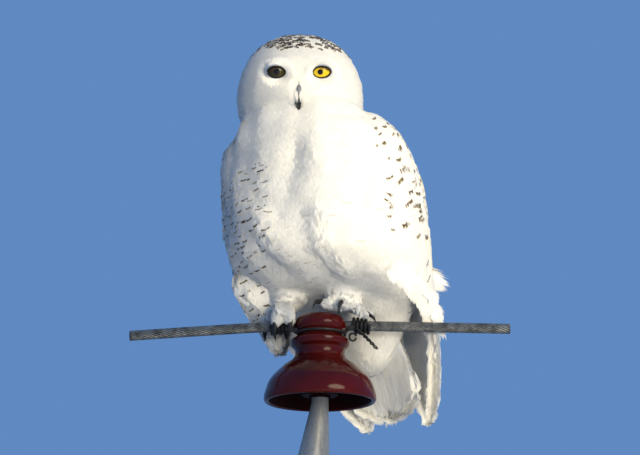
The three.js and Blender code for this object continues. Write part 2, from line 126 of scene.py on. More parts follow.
def throughPoints(points, count):
    # a smooth line through the points, in even shares of its length
    p = np.asarray(points, float)
    p = np.concatenate([[2 * p[0] - p[1]], p, [2 * p[-1] - p[-2]]])
    out = []
    for i in range(1, len(p) - 2):
        t = np.linspace(0, 1, 16, endpoint=False)[:, None]
        a, b, c, d = p[i - 1], p[i], p[i + 1], p[i + 2]
        out.append(0.5 * (2 * b + (c - a) * t + (2 * a - 5 * b + 4 * c - d) * t**2
                          + (3 * b - a - 3 * c + d) * t**3))
    out = np.concatenate(out + [p[-2:-1]])
    far = np.concatenate([[0], np.cumsum(np.linalg.norm(np.diff(out, axis=0), axis=1))])
    even = np.linspace(0, far[-1], count)
    return np.stack([np.interp(even, far, out[:, k]) for k in range(out.shape[1])], 1)


def buildMesh(name, points, faces, material, values=None, patches=None, shading=None):
    mesh = bpy.data.meshes.new(name)
    points = np.asarray(points, np.float32).reshape(-1, 3)
    groups = [np.asarray(f, np.int32) for f in (faces if isinstance(faces, list) else [faces])]
    corners = np.concatenate([g.ravel() for g in groups])
    sizes = np.concatenate([np.full(len(g), g.shape[1], np.int32) for g in groups])
    mesh.vertices.add(len(points))
    mesh.vertices.foreach_set("co", points.ravel())
    mesh.loops.add(len(corners))
    mesh.loops.foreach_set("vertex_index", corners)
    mesh.polygons.add(len(sizes))
    mesh.polygons.foreach_set("loop_start", np.concatenate([[0], np.cumsum(sizes)[:-1]]).astype(np.int32))
    mesh.polygons.foreach_set("use_smooth", np.full(len(sizes), True))
    mesh.update(calc_edges=True)
    for key, value in (values or {}).items():
        mesh.attributes.new(key, "FLOAT", "POINT").data.foreach_set("value", np.asarray(value, np.float32))
    if patches is not None:
        layer = mesh.uv_layers.new(name="OFBake")
        layer.data.foreach_set("uv", np.asarray(patches, np.float32)[corners].ravel())
    if shading is not None:
        mesh.normals_split_custom_set(shading)
    mesh.materials.append(material)
    piece = bpy.data.objects.new(name, mesh)
    bpy.context.collection.objects.link(piece)
    return piece


def belongs(piece, slotName, *standsFor):
    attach(piece, "root")
    if standsFor:
        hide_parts(*standsFor)
    return piece


def gridFaces(rows, columns, flip=False):
    # quads between closed rings of points
    r = np.arange(rows - 1)[:, None]
    c = np.arange(columns)[None, :]
    n = (c + 1) % columns
    quads = np.stack([r * columns + c, r * columns + n, (r + 1) * columns + n, (r + 1) * columns + c], -1)
    quads = quads.reshape(-1, 4)
    return quads[:, ::-1] if flip else quads


def around(sides):
    return np.arange(sides) * 2 * math.pi / sides


def closedRings(rows, sides):
    # faces of rings of points with a lid at each end
    return [gridFaces(rows, sides), np.arange(sides)[None, ::-1], (rows - 1) * sides + np.arange(sides)[None]]


def tube(line, radii, sides, flat=1.0, sideHint=None):
    # points and faces of a closed rod along a line, that may be flattened
    line = np.asarray(line, float)
    radii = np.broadcast_to(np.asarray(radii, float), (len(line),))
    heading = unit(np.gradient(line, axis=0))
    if sideHint is None:
        sideHint = [0.31, 0.17, 0.93] if abs(heading[0, 2]) < 0.8 else [1.0, 0.2, 0.1]
    side = unit(np.cross(heading, np.asarray(sideHint, float)))
    other = np.cross(heading, side)
    angle = around(sides)
    ring = (np.cos(angle)[None, :, None] * side[:, None] * flat + np.sin(angle)[None, :, None] * other[:, None])
    points = (line[:, None] + ring * radii[:, None, None]).reshape(-1, 3)
    return points, closedRings(len(line), sides)


def joined(parts):
    # several (points, faces) as one
    points, faces, start = [], [], 0
    for p, f in parts:
        points.append(p)
        faces += [g + start for g in f]
        start += len(p)
    return np.concatenate(points), faces


def newMaterial(name, **sockets):
    material = bpy.data.materials.new(name)
    material.use_nodes = True
    shader = material.node_tree.nodes["Principled BSDF"]
    for key, value in sockets.items():
        shader.inputs[key.replace("_", " ")].default_value = value
    return material, shader


def add(material, kind, inputs=None, **settings):
    node = material.node_tree.nodes.new("ShaderNode" + kind)
    for key, value in settings.items():
        setattr(node, key, value)
    for key, value in (inputs or {}).items():
        if isinstance(value, bpy.types.NodeSocket):
            material.node_tree.links.new(value, node.inputs[key])
        else:
            node.inputs[key].default_value = value
    return node


def value(material, name):
    return add(material, "Attribute", attribute_name=name).outputs["Fac"]


def sums(material, operation, a, b=0.0):
    return add(material, "Math", {0: a, 1: b}, operation=operation).outputs[0]


def between(material, x, low, high, outLow=0.0, outHigh=1.0):
    return add(material, "MapRange", {0: x, 1: low, 2: high, 3: outLow, 4: outHigh}).outputs[0]


def blend(material, share, a, b):
    return add(material, "Mix", {0: share, 6: a, 7: b}, data_type="RGBA").outputs[2]


def noise(material, scale, detail=2.0, stretch=None, roughness=0.5):
    place = add(material, "TexCoord").outputs["Object"]
    if stretch is not None:
        place = add(material, "Mapping", {0: place, "Scale": stretch}).outputs[0]
    node = add(material, "TexNoise", {"Vector": place, "Scale": scale, "Detail": detail, "Roughness": roughness})
    return node.outputs[0]


def bump(material, shader, height, distance, strength=1.0):
    node = add(material, "Bump", {"Height": height, "Distance": distance, "Strength": strength})
    plug(material, node.outputs[0], shader, "Normal")


def plug(material, socket, shader, name):
    material.node_tree.links.new(socket, shader.inputs[name])


def colour(material, shader, socket):
    plug(material, socket, shader, "Base Color")


plumageLook = {
    "light": (0.9, 0.89, 0.86, 1),
    "deep": (0.82, 0.812, 0.785, 1),
    "cream": (0.88, 0.855, 0.78, 1),
    "dark": (0.02, 0.014, 0.011, 1),
    "tan": (0.27, 0.165, 0.075, 1),
}


def cloudAndInk(m):
    # soft patches of cream, and the colour of the dark marks
    cloud = between(m, noise(m, 11.0, 3.0), 0.42, 0.7)
    ink = blend(m, value(m, "tint"), plumageLook["dark"], plumageLook["tan"])
    return sums(m, "MULTIPLY", cloud, 0.35), ink


def plumage(name):
    m, shader = newMaterial(name, Roughness=0.8, Specular_IOR_Level=0.2, Sheen_Weight=0.1, Sheen_Roughness=0.5,
                            Subsurface_Weight=0.5, Subsurface_Scale=0.007, Subsurface_Radius=(1.0, 0.95, 0.9))
    cloud, ink = cloudAndInk(m)
    white = blend(m, value(m, "tone"), plumageLook["deep"], plumageLook["light"])
    white = blend(m, cloud, white, plumageLook["cream"])
    edge = between(m, sums(m, "ABSOLUTE", value(m, "bar")), 0.75, 1.05, 1.0, 0.0)
    colour(m, shader, blend(m, sums(m, "MULTIPLY", edge, value(m, "strength")), white, ink))
    return m


def skinLook():
    m, shader = newMaterial("skin", Roughness=0.85, Specular_IOR_Level=0.2)
    cloud, ink = cloudAndInk(m)
    white = blend(m, cloud, plumageLook["deep"], plumageLook["cream"])
    colour(m, shader, blend(m, sums(m, "MULTIPLY", value(m, "mark"), 0.9), white, ink))
    bump(m, shader, noise(m, 520.0, 2.0, (1.0, 1.0, 0.3)), 0.0008, 0.8)
    return m


plumageMaterial = plumage("plumage")
skinMaterial = skinLook()
print("scene: materials made")

toeNames = [f"toe_{side}_{i}" for side in ("left", "right") for i in (1, 2, 3, 4)]
fleshNames = ["head", "neck", "trunk", "flank_right", "wing_left", "wing_right", "tail",
              "leg_left", "leg_right"] + toeNames
tuftNames = ["wing_tuft_1", "wing_tuft_2"]
skinSettings = {"voxel": 2.4 * mm, "swell": 0.45 * mm, "smooth": 9, "steps": 4}
coatDepth = {"neck": 5.0, "trunk": 5.5, "flank_right": 4.5, "wing_left": 3.6, "wing_right": 3.6,
             "tail": 2.6, "leg_left": 4.0, "leg_right": 4.0, "toe": 2.2}
featherLength = {"neck": 21.0, "trunk": 33.0, "flank_right": 30.0, "wing_left": 44.0, "wing_right": 44.0,
                 "tail": 44.0, "leg_left": 13.0, "leg_right": 13.0, "toe": 8.0}


def numbers(items, key, width, kind=np.float32):
    # one value of every item of a mesh, in rows
    flat = np.zeros(len(items) * width, kind)
    items.foreach_get(key, flat)
    return flat.reshape(-1, width)


def nodeArrays(name):
    node = cadNodes[name]
    node.data.calc_loop_triangles()
    matrix = np.array(node.matrix_world)
    points = numbers(node.data.vertices, "co", 3) @ matrix[:3, :3].T + matrix[:3, 3]
    return points, numbers(node.data.loop_triangles, "vertices", 3, np.int32)


def faceNormals(points, faces):
    return np.cross(points[faces[:, 2]] - points[faces[:, 0]], points[faces[:, -1]] - points[faces[:, 1]])


def pointNormals(points, faces):
    normals = faceNormals(points, faces)
    total = np.zeros_like(points)
    for k in range(faces.shape[1]):
        for axis in range(3):
            total[:, axis] += np.bincount(faces[:, k], normals[:, axis], len(points))
    return unit(total)


def flesh():
    points, faces, labels, start = [], [], [], 0
    for i, name in enumerate(fleshNames):
        p, f = nodeArrays(name)
        normal = np.zeros_like(p)
        face = np.cross(p[f[:, 1]] - p[f[:, 0]], p[f[:, 2]] - p[f[:, 0]])
        for k in range(3):
            np.add.at(normal, f[:, k], face)
        points.append(p + unit(normal) * skinSettings["swell"])
        faces.append(f + start)
        labels.append(np.full(len(f), i))
        start += len(p)
    return np.concatenate(points), np.concatenate(faces), np.concatenate(labels)


def remeshed(points, faces, size):
    rough = buildMesh("rough", points, faces, skinMaterial)
    modifier = rough.modifiers.new("voxels", "REMESH")
    modifier.mode = "VOXEL"
    modifier.voxel_size = size
    done = rough.evaluated_get(bpy.context.evaluated_depsgraph_get()).to_mesh()
    p = numbers(done.vertices, "co", 3).astype(float)
    q = numbers(done.loops, "vertex_index", 1, np.int32).reshape(-1, 4)
    bpy.data.objects.remove(rough)
    return p, q


def edgesOf(faces):
    pairs = np.concatenate([faces[:, [k, (k + 1) % faces.shape[1]]] for k in range(faces.shape[1])])
    return np.unique(np.sort(pairs, axis=1), axis=0)


def largestPiece(points, faces):
    # label spreading over the edges, then only the biggest body is kept
    edges = edgesOf(faces)
    label = np.arange(len(points))
    while True:
        low = np.minimum(label[edges[:, 0]], label[edges[:, 1]])
        new = label.copy()
        np.minimum.at(new, edges[:, 0], low)
        np.minimum.at(new, edges[:, 1], low)
        new = new[new]
        if (new == label).all():
            break
        label = new
    keep = label == np.bincount(label).argmax()
    index = np.cumsum(keep) - 1
    return points[keep], index[faces[keep[faces[:, 0]]]]


class Mean:
    # the mean of each point's neighbours
    def __init__(self, count, edges):
        self.a = np.concatenate([edges[:, 0], edges[:, 1]])
        self.b = np.concatenate([edges[:, 1], edges[:, 0]])
        self.count = count
        self.share = 1 / np.maximum(np.bincount(self.a, minlength=count), 1)

    def of(self, x):
        if x.ndim == 1:
            return np.bincount(self.a, x[self.b], self.count) * self.share
        return np.stack([np.bincount(self.a, x[self.b, k], self.count) * self.share for k in range(x.shape[1])], 1)

    def smooth(self, x, rounds, share=0.5):
        for _ in range(rounds):
            x = x + (self.of(x) - x) * share
        return x


fleshPoints, fleshFaces, fleshLabels = flesh()
solidTree = BVHTree.FromPolygons(fleshPoints.tolist(), fleshFaces.tolist())
skinPoints, skinFaces = remeshed(fleshPoints, fleshFaces, skinSettings["voxel"])
skinPoints, skinFaces = largestPiece(skinPoints, skinFaces)
mean = Mean(len(skinPoints), edgesOf(skinFaces))
skinPoints = mean.smooth(skinPoints, skinSettings["smooth"])
nearest = [solidTree.find_nearest(p)[2] for p in skinPoints.tolist()]
region = fleshLabels[np.array(nearest)]
print("scene: skin of", len(skinPoints), "points")

inRegion = {name: region == i for i, name in enumerate(fleshNames)}
onToe = np.isin(region, [fleshNames.index(name) for name in toeNames])
onHead = inRegion["head"]
local = toHead(skinPoints)
body = toBody(skinPoints)

eyes = {"side": 28.5, "front": -44.0, "height": 36.0, "radius": 17.5, "wide": 10.8, "up": 6.7, "down": 6.6,
        "raise": 0.8}  # the lids open a little above the eyeball's middle
eyeSlots = {"left": 1, "right": -1}


def fromEyes(p):
    # distance from the nearer eye's middle as the face sees it, across and up
    sign = np.where(p[:, 0] < 0, -1.0, 1.0)
    across = p[:, 0] - sign * eyes["side"]
    up = p[:, 2] - eyes["height"] - eyes["raise"]
    return np.hypot(across, up), across, up


def lengthField():
    size = np.zeros(len(skinPoints))
    for name, length in featherLength.items():
        size[onToe if name == "toe" else inRegion[name]] = length
    away = np.linalg.norm(local - [0, -80, 20], axis=1)
    onFace = np.clip(7.5 + 0.09 * away, 7.5, 19)
    ring = fromEyes(local)[0]
    size *= 1 - 0.25 * ramp(body[:, 2], 130, 215) * inRegion["trunk"]  # finer towards the throat
    for side, mirror in (("left", 1), ("right", -1)):
        share = alongPath(paths["wing"], body * [mirror, 1, 1])[0]
        size[inRegion[f"wing_{side}"]] *= (1 - 0.5 * ramp(share, 0.8, 1.0))[inRegion[f"wing_{side}"]]
    front = local[:, 1] < -30
    onFace = np.where(front, np.minimum(onFace, 5.0 + 0.36 * np.maximum(ring - 9, 0)), onFace)
    size[onHead] = onFace[onHead]
    return mean.smooth(size, 60)


def depthField(size):
    depth = np.zeros(len(skinPoints))
    for name, value in coatDepth.items():
        depth[onToe if name == "toe" else inRegion[name]] = value
    depth[onHead] = (0.36 * size)[onHead]
    return mean.smooth(depth, 22)


paths = {
    "trunk": [(0, -22, 256), (0, -18, 240), (0, -6, 211), (0, 6, 170), (0, 10, 120), (0, 18, 78), (0, 34, 44),
              (0, 74, 14), (0, 94, -10), (0, 100, -40), (0, 106, -66)],
    "wing": [(90, -12, 250), (106, 8, 220), (119, 38, 172), (113, 70, 118), (92, 108, 66), (76, 138, 12),
             (60, 160, -46), (50, 182, -124)],
    "tail": [(0, 102, 46), (0, 116, 24), (0, 134, -12), (0, 148, -50), (0, 160, -88), (0, 168, -114)],
    "flank": [(-80, -10, 88), (-84, -12, 56), (-78, -12, 24), (-72, -2, -4), (-66, 4, -28), (-62, 6, -46)],
}
feet = {  # along the line, behind it, above the insulator; the claws start where the toes end
    "right": {"ankle": (-47, 9, 14), "toes": [
        ([(-45, 14, 9), (-44, 24, 0), (-43, 26, -14)], [(-43, 25, -12), (-43, 22, -24), (-42, 12, -29)]),
        ([(-44, 0, 11), (-39, -15, 3), (-37, -20, -14)], [(-37, -21, -10), (-38, -24, -24), (-40, -13, -33)]),
        ([(-50, 0, 11), (-54, -15, 3), (-55, -20, -16)], [(-56, -21, -12), (-58, -24, -27), (-55, -14, -37)]),
        ([(-55, 10, 9), (-66, 16, 1), (-70, 19, -14)], [(-70, 19, -11), (-72, 17, -24), (-69, 8, -30)])]},
    "left": {"ankle": (30, 6, 14), "toes": [
        ([(30, 12, 10), (31, 26, 7), (32, 38, -6)], [(32, 37, -4), (32, 42, -15), (31, 39, -24)]),
        ([(24, -6, 11), (14, -17, 10), (3, -24, 9)], [(4, -23, 11), (-7, -32, 14), (-9, -40, -2)]),
        ([(30, -8, 11), (29, -21, 10), (27, -31, 7)], [(27, -30, 9), (25, -41, 8), (22, -42, -9)]),
        ([(38, -2, 11), (50, -11, 6), (59, -17, -4)], [(58, -16, -2), (66, -20, -2), (70, -22, -15)])]},
}


def flowField(normals):
    # the lie of the coat: down the body, along wings, tail and toes, and outwards from bill and eyes
    flow = np.zeros_like(skinPoints)
    for name, line, side in (("neck", "trunk", 1), ("trunk", "trunk", 1), ("flank_right", "flank", 1),
                             ("wing_left", "wing", 1), ("wing_right", "wing", -1), ("tail", "tail", 1)):
        mirror = np.array([side, 1, 1])
        flow[inRegion[name]] = (alongPath(paths[line], body * mirror)[2] * mirror)[inRegion[name]]
    for name in ("leg_left", "leg_right"):
        flow[inRegion[name]] = [0, -0.1, -1]
    for side, foot in feet.items():
        for i, (toe, claw) in enumerate(foot["toes"]):
            here = inRegion[f"toe_{side}_{i + 1}"]
            line = atPerch([foot["ankle"]] + list(toe) + [claw[1]])
            flow[here] = alongPath(line, skinPoints[here])[2]
    fromBill = unit(local - [0, -78, 17])
    fromBill[:, 2] += 0.35 * (local[:, 2] > 17) * (np.abs(local[:, 0]) < 20)
    ring, across, up = fromEyes(local)
    fromEye = unit(np.stack([across, np.zeros_like(ring), up], 1))
    near = np.exp(-((np.maximum(ring - 10, 0) / 8.5) ** 2)) * (local[:, 1] < -25)
    face = unit(fromBill) * (1 - near)[:, None] + fromEye * near[:, None]
    down = np.array([0, 0, -1.0]) @ headTurn
    back = ramp(local[:, 1], -10, 60)[:, None]
    face = unit(face) * (1 - 0.8 * back) + unit(down + [0, 0.25, 0]) * 0.8 * back
    low = ramp(-local[:, 2], 25, 75)[:, None]
    face = face * (1 - 0.6 * low) + down * 0.6 * low
    flow[onHead] = (face @ headTurn.T)[onHead]
    for _ in range(14):
        flow -= (flow * normals).sum(1, keepdims=True) * normals
        flow = mean.smooth(unit(flow), 1, 0.6)
    flow -= (flow * normals).sum(1, keepdims=True) * normals
    return unit(flow)


# folds of the breast and belly: along the line, behind it and above the insulator
folds = [
    {"depth": 4.9, "width": 14.0, "line": [(-28, -108, 215), (-30, -107, 194), (-37, -106, 158), (-41, -104, 130),
                                          (-36, -104, 101), (-31, -98, 72), (-17, -82, 51), (0, -56, 39)]},
    {"depth": 3.8, "width": 11.2, "line": [(-22, -110, 125), (-19, -110, 111), (-16, -105, 80), (-6, -92, 56),
                                          (10, -69, 41), (32, -33, 31)]},
    {"depth": 3.8, "width": 12.6, "line": [(-90, -68, 143), (-71, -86, 124), (-57, -94, 105), (-49, -98, 95)]},
    {"depth": 4.0, "width": 12.6, "line": [(-87, -67, 87), (-73, -66, 64), (-57, -65, 54), (-41, -55, 43),
                                          (-30, -22, 36)]},
    {"depth": 2.7, "width": 11.2, "line": [(4, -110, 98), (13, -109, 79), (19, -100, 61), (21, -85, 46)]},
    {"depth": 3.0, "width": 15.4, "line": [(-106, -42, 226), (-104, -49, 205), (-98, -61, 181), (-88, -71, 157)]},
    {"depth": 2.5, "width": 15.4, "line": [(52, -105, 205), (56, -108, 170), (52, -111, 135), (40, -110, 100)]},
]


ripples = {"count": 26, "height": 0.42, "shares": np.array([1 / 26, 1 / 26, 1 / 60])}  # longer down the body


def folded(points, normals):
    place = toPerch(points)
    push = np.zeros(len(points))
    for fold in folds:
        share, away, _ = alongPath(fold["line"], place)
        x = away / fold["width"]
        fade = ramp(share, 0.0, 0.18) * ramp(1 - share, 0.0, 0.2)
        push += fold["depth"] * fade * (0.35 * np.exp(-((x - 1.9) ** 2)) - np.exp(-x * x))
    soft = np.random.default_rng(5)
    for _ in range(ripples["count"]):
        wave = soft.normal(size=3) * ripples["shares"]
        push += ripples["height"] * np.sin(place @ wave * 2.2 + soft.uniform(0, 6.28)) * onBody
    return points + normals * (push * mm)[:, None]


size = lengthField()
depth = depthField(size)
onBody = mean.smooth((inRegion["trunk"] | inRegion["neck"] | inRegion["flank_right"]).astype(float), 8)
shell = skinPoints.copy()
for step in range(skinSettings["steps"]):
    normals = pointNormals(skinPoints, skinFaces)
    skinPoints = skinPoints - normals * (depth * mm / skinSettings["steps"])[:, None]
    skinPoints = mean.smooth(skinPoints, 1, 0.4)
normals = pointNormals(skinPoints, skinFaces)
room = np.array([solidTree.find_nearest(p)[3] for p in skinPoints.tolist()]) / mm - skinSettings["swell"] / mm
room = mean.smooth(np.clip(room, 0.5 * depth, 2.2 * depth + 2), 6)
filled = mean.smooth(shell, 150)  # the crease between head and body is bridged by feathers
seam = ramp(local[:, 2], -125, -100) * ramp(-local[:, 2], -14, 8)
seam *= 1 - np.exp(-((local[:, 0] / 9) ** 2) - ((local[:, 2] + 2) / 15) ** 2)  # not over the bill
hollow = ((filled - shell) * pointNormals(shell, skinFaces)).sum(1)
bridge = np.clip(1.8 * hollow / mm, 0, 10.5) * mean.smooth(seam, 6)
print("scene: crease filled by up to", round(bridge.max(), 1), "mm")
room = room + mean.smooth(bridge, 26)
skinPoints = folded(skinPoints, normals)
skinPoints = mean.smooth(skinPoints, 2, 0.4)
normals = pointNormals(skinPoints, skinFaces)
flow = flowField(normals)
local, body = toHead(skinPoints), toBody(skinPoints)
skinTree = BVHTree.FromPolygons(skinPoints.tolist(), skinFaces.tolist())
faceNormal = unit(normals[skinFaces].mean(1))
faceFlow = unit(flow[skinFaces].mean(1))
print("scene: skin fitted inside the coat")

skin = buildMesh("skin", skinPoints, skinFaces, skinMaterial)
bpy.context.view_layer.objects.active = skin
skin.select_set(True)
bpy.ops.object.mode_set(mode="EDIT")
bpy.ops.mesh.select_all(action="SELECT")
bpy.ops.uv.smart_project(angle_limit=math.radians(66), island_margin=0.002)
bpy.ops.object.mode_set(mode="OBJECT")
skin.data.uv_layers[0].name = "OFBake"
skinUv = numbers(skin.data.uv_layers[0].data, "uv", 2).reshape(-1, 4, 2).mean(1)
belongs(skin, "plumage", *fleshNames)
print("scene: skin unwrapped")


def skinAt(points):
    # nearest place on the skin: point, face and distance
    found = [skinTree.find_nearest(p) for p in points.tolist()]
    place = np.array([f[0][:] for f in found])
    return place, np.array([f[2] for f in found]), np.array([f[3] for f in found])


def roomAt(places):
    # metres from the skin to the solids' surface
    return room[skinFaces].mean(1)[skinAt(places)[1]] * mm


def crowded(grid, key, point, reach, cells):
    # whether a kept root lies within reach of the point
    near = range(-cells, cells + 1)
    for x in near:
        for y in near:
            for z in near:
                for q in grid.get((key[0] + x, key[1] + y, key[2] + z), ()):
                    if (q[0] - point[0]) ** 2 + (q[1] - point[1]) ** 2 + (q[2] - point[2]) ** 2 < reach * reach:
                        return True
    return False


def scatter(spacing, allowed, tries=5.0):
    # roots on the skin, no two nearer than the spacing of the place
    gap = spacing[skinFaces].mean(1)
    corner = skinPoints[skinFaces]
    area = np.linalg.norm(faceNormals(skinPoints, skinFaces), axis=1) / 2
    packing = 0.866  # the rows of close-set roots are this share of a gap apart
    wanted = area / (packing * gap**2) * allowed[skinFaces].all(1)
    pick = rng.choice(len(wanted), int(wanted.sum() * tries), p=wanted / wanted.sum())
    s, t = rng.uniform(size=(2, len(pick), 1))
    c = corner[pick]
    points = (c[:, 0] * (1 - s) + c[:, 1] * s) * (1 - t) + (c[:, 3] * (1 - s) + c[:, 2] * s) * t
    reach = gap[pick]
    cell = 3 * mm
    grid, kept = {}, []
    key = np.floor(points / cell).astype(int)
    for i in np.argsort(rng.uniform(size=len(pick)) - 0.2 * reach / reach.max()):
        if not crowded(grid, key[i], points[i], reach[i], int(math.ceil(reach[i] / cell))):
            grid.setdefault(tuple(key[i]), []).append(tuple(points[i]))
            kept.append(i)
    kept = np.array(kept)
    return points[kept], pick[kept]


def march(start, face, length, count, sway=0.08, freeAfter=3.0):
    # walks each feather's middle over the skin along the lie of the coat
    angle = rng.normal(0, sway, len(start))[:, None]
    points, heads, ups = [], [], []
    place, normal = start, faceNormal[face]
    heading = faceFlow[face]
    freeAfter = np.broadcast_to(freeAfter, len(start)) * mm
    for k in range(count):
        turned = np.cos(angle) * heading + np.sin(angle) * np.cross(normal, heading)
        points.append(place)
        heads.append(unit(turned))
        ups.append(normal)
        if k == count - 1:
            break
        ahead = place + unit(turned) * (length / (count - 1))[:, None]
        found, face, away = skinAt(ahead)
        onSkin = (away < freeAfter)[:, None]
        place = np.where(onSkin, found, ahead)
        normal = unit(np.where(onSkin, 0.35 * normal + 0.65 * faceNormal[face], normal))
        heading = np.where(onSkin, 0.4 * heading + 0.6 * faceFlow[face], heading)
        heading = unit(heading - (heading * normal).sum(1, keepdims=True) * normal)
    return np.stack(points, 1), np.stack(heads, 1), np.stack(ups, 1)


def facing(place, out):
    # lines of feathers with their headings and normals, turned towards a direction
    heading = unit(np.gradient(place, axis=1))
    across = unit(np.cross(heading, out))
    return place, heading, unit(np.cross(across, heading))


def sample(stations, share):
    # stations (feather, k, 3) at shares (feather, lock)
    k = stations.shape[1] - 1
    x = np.clip(share, 0, 1) * k
    i = np.minimum(x.astype(int), k - 1)
    f = (x - i)[..., None]
    rows = np.arange(len(stations))[:, None]
    return stations[rows, i] * (1 - f) + stations[rows, i + 1] * f


pieceLimit = 196000  # triangles


class Coat:
    # collects locks, and makes pieces of fewer triangles than the limit from them
    def __init__(self, name, shadow=True):
        self.name = name
        self.batches = []
        self.shadow = shadow  # down lets light through, so the skin casts the body's shadow

    def fans(self, stations, halfWidth, lift, locks, style, root, mark=None):
        place, head, up = stations
        n = len(place)
        u = np.linspace(-1, 1, locks)[None] * np.ones((n, 1)) if locks > 1 else np.zeros((n, 1))
        u = u + rng.normal(0, 0.35 / locks, u.shape)
        end = np.sqrt(np.clip(1 - style["round"] * u**2, 0.05, 1)) * rng.uniform(style["ragged"], 1, u.shape)
        begin = np.clip(0.04 + style["open"] * (1 - np.abs(u)), 0, 0.6) * rng.uniform(0.7, 1.0, u.shape)
        if mark is not None:  # a marked feather has an even edge
            marked = mark["strength"][:, None] > 0
            end = np.where(marked, rng.uniform(0.92, 1, u.shape), end)
        begin = np.maximum(begin, end - style["reach"])
        raised = lift[:, None] * (1 + rng.normal(0, 0.015, u.shape)) * (1 - style["dome"] * u**2)
        tuck = np.full((n, 1), style["tuck"])
        if mark is not None:  # and lies on top of its neighbours
            tuck = np.where(marked, 0.06, tuck)
            raised = raised * np.where(marked, 1.04, 1)
        raised = raised + (rng.uniform(size=u.shape) < style["loose"]) * rng.uniform(0.5, 2.0, u.shape) * mm
        stray = rng.normal(0, style["stray"], u.shape)
        thick = halfWidth[:, None] * 2 / locks * style["cover"]
        rings, shades, shares = [], [], []
        for step, lean, wide in style["rings"]:
            share = begin + step * (end - begin)
            c, d, normal = sample(place, share), unit(sample(head, share)), unit(sample(up, share))
            side = unit(np.cross(normal, d))
            rise = raised * (1 - np.clip(1 - share, 0, 1) ** style["rise"]) * (1 - tuck * step**2)
            if step == 0:
                rise = raised * 0.22 - 0.6 * mm
            c = c + side * ((lean * u + step * stray) * halfWidth[:, None])[..., None] + normal * rise[..., None]
            count = 3 if wide else 1
            if wide:
                w = (thick * wide)[..., None]
                rings += [c - side * w, c + side * w, c + normal * (w * style["ridge"] + 0.12 * mm)]
                turnOff = side * style["roundOff"]
                shades += [unit(normal - turnOff), unit(normal + turnOff), normal]
            else:
                rings.append(c)
                shades.append(unit(normal + d * 0.15))
            shares += [share] * count
        corners = len(rings)
        points = np.stack(rings, 2).reshape(-1, corners, 3)
        shades = np.stack(shades, 2).reshape(-1, corners, 3)
        shares = np.stack(shares, 2).reshape(-1, corners)
        total = len(points)
        across = np.repeat(u.reshape(-1, 1), corners, 1)
        tone = np.repeat(rng.uniform(size=(n, 1)), locks, 1) * 0.7 + rng.uniform(size=(n, locks)) * 0.3
        values = {"tone": np.repeat(tone.reshape(-1, 1), corners, 1), "bar": np.full((total, corners), 9.0),
                  "strength": np.zeros((total, corners)), "tint": np.zeros((total, corners))}
        if mark is not None:
            each = {key: np.repeat(amount, locks)[:, None] for key, amount in mark.items()}
            centre = each["centre"] - each["bend"] * np.abs(across + each["skew"])
            inside = (np.abs(across) < each["wide"]) & (each["strength"] > 0)
            values["bar"] = np.where(inside, (shares - centre) / each["half"], 9.0)
            for key in ("strength", "tint"):
                values[key] = np.repeat(each[key], corners, 1)
        patch = np.repeat(skinUv[root], locks, 0)[:, None] + np.stack([across * 0.0014, (shares - 0.5) * 0.003], -1)
        good = clearOfPerch(points) if style.get("free", True) else np.full(total, True)
        self.batches.append((points[good], shades[good], {k: v[good] for k, v in values.items()}, patch[good]))

    def pieces(self, slotName, *standsFor):
        packs, used = [[]], 0
        for points, shades, values, patch in self.batches:
            each = lockFaces(points.shape[1])[2]
            start = 0
            while start < len(points):
                take = min((pieceLimit - used) // each, len(points) - start)
                if take <= 0:
                    packs.append([])
                    used = 0
                    continue
                part = slice(start, start + take)
                packs[-1].append((points[part], shades[part], {k: v[part] for k, v in values.items()}, patch[part]))
                used += take * each
                start += take
        for i, pack in enumerate(packs):
            threes, fours, first = [], [], 0
            for points, _, _, _ in pack:
                ends, sides, _ = lockFaces(points.shape[1])
                base = first + points.shape[1] * np.arange(len(points))[:, None, None]
                threes.append((base + ends).reshape(-1, 3))
                fours.append((base + sides).reshape(-1, 4))
                first += points.shape[0] * points.shape[1]
            flat = [np.concatenate([b[k].reshape(-1, w) for b in pack]) for k, w in ((0, 3), (1, 3), (3, 2))]
            threes, fours = np.concatenate(threes), np.concatenate(fours)
            under = np.concatenate([np.tile([-1, -1, 1, 1], len(threes) // 4).repeat(3),
                                    np.tile([-1, 1, 1], len(fours) // 3).repeat(4)])
            corners = flat[1][np.concatenate([threes.ravel(), fours.ravel()])] * under[:, None]
            values = {k: np.concatenate([b[2][k].ravel() for b in pack]) for k in pack[0][2]}
            piece = buildMesh(f"{self.name}_{i + 1}", flat[0], [threes, fours], plumageMaterial, values, flat[2],
                              shading=corners)
            piece.visible_shadow = self.shadow
            belongs(piece, slotName, *(standsFor if i == 0 else ()))
        locks = sum(len(b[0]) for b in self.batches)
        triangles = sum(len(b[0]) * lockFaces(b[0].shape[1])[2] for b in self.batches)
        print("scene:", self.name, locks, "locks,", triangles, "triangles in", len(packs), "pieces")


def laid(coat, place, out, halfWidth, lift, locks, style):
    # feathers along given lines, turned towards a direction; sizes in millimetres
    full = np.ones(len(place))
    coat.fans(facing(place, out), full * halfWidth * mm, full * lift * mm, locks, style, skinAt(place[:, 0])[1])


def lockFaces(corners):
    # a lock is two or three rings of three points and a tip
    rings = corners // 3
    tip = 3 * rings
    ends = [[0, 2, 1]] + [[tip - 3 + k, tip - 3 + (k + 1) % 3, tip] for k in range(3)]
    sides = [[3 * r + k, 3 * r + (k + 1) % 3, 3 * r + 3 + (k + 1) % 3, 3 * r + 3 + k]
             for r in range(rings - 1) for k in range(3)]
    return np.array(ends), np.array(sides), len(ends) + 2 * len(sides)


lineFall = {-1: math.tan(math.radians(4)), 1: math.tan(math.radians(1.2))}


def lineHeight(h):
    past = np.maximum(0, np.abs(h) - 30)
    return -13.4 - past**2 / (past + 30) * np.where(h < 0, lineFall[-1], lineFall[1])


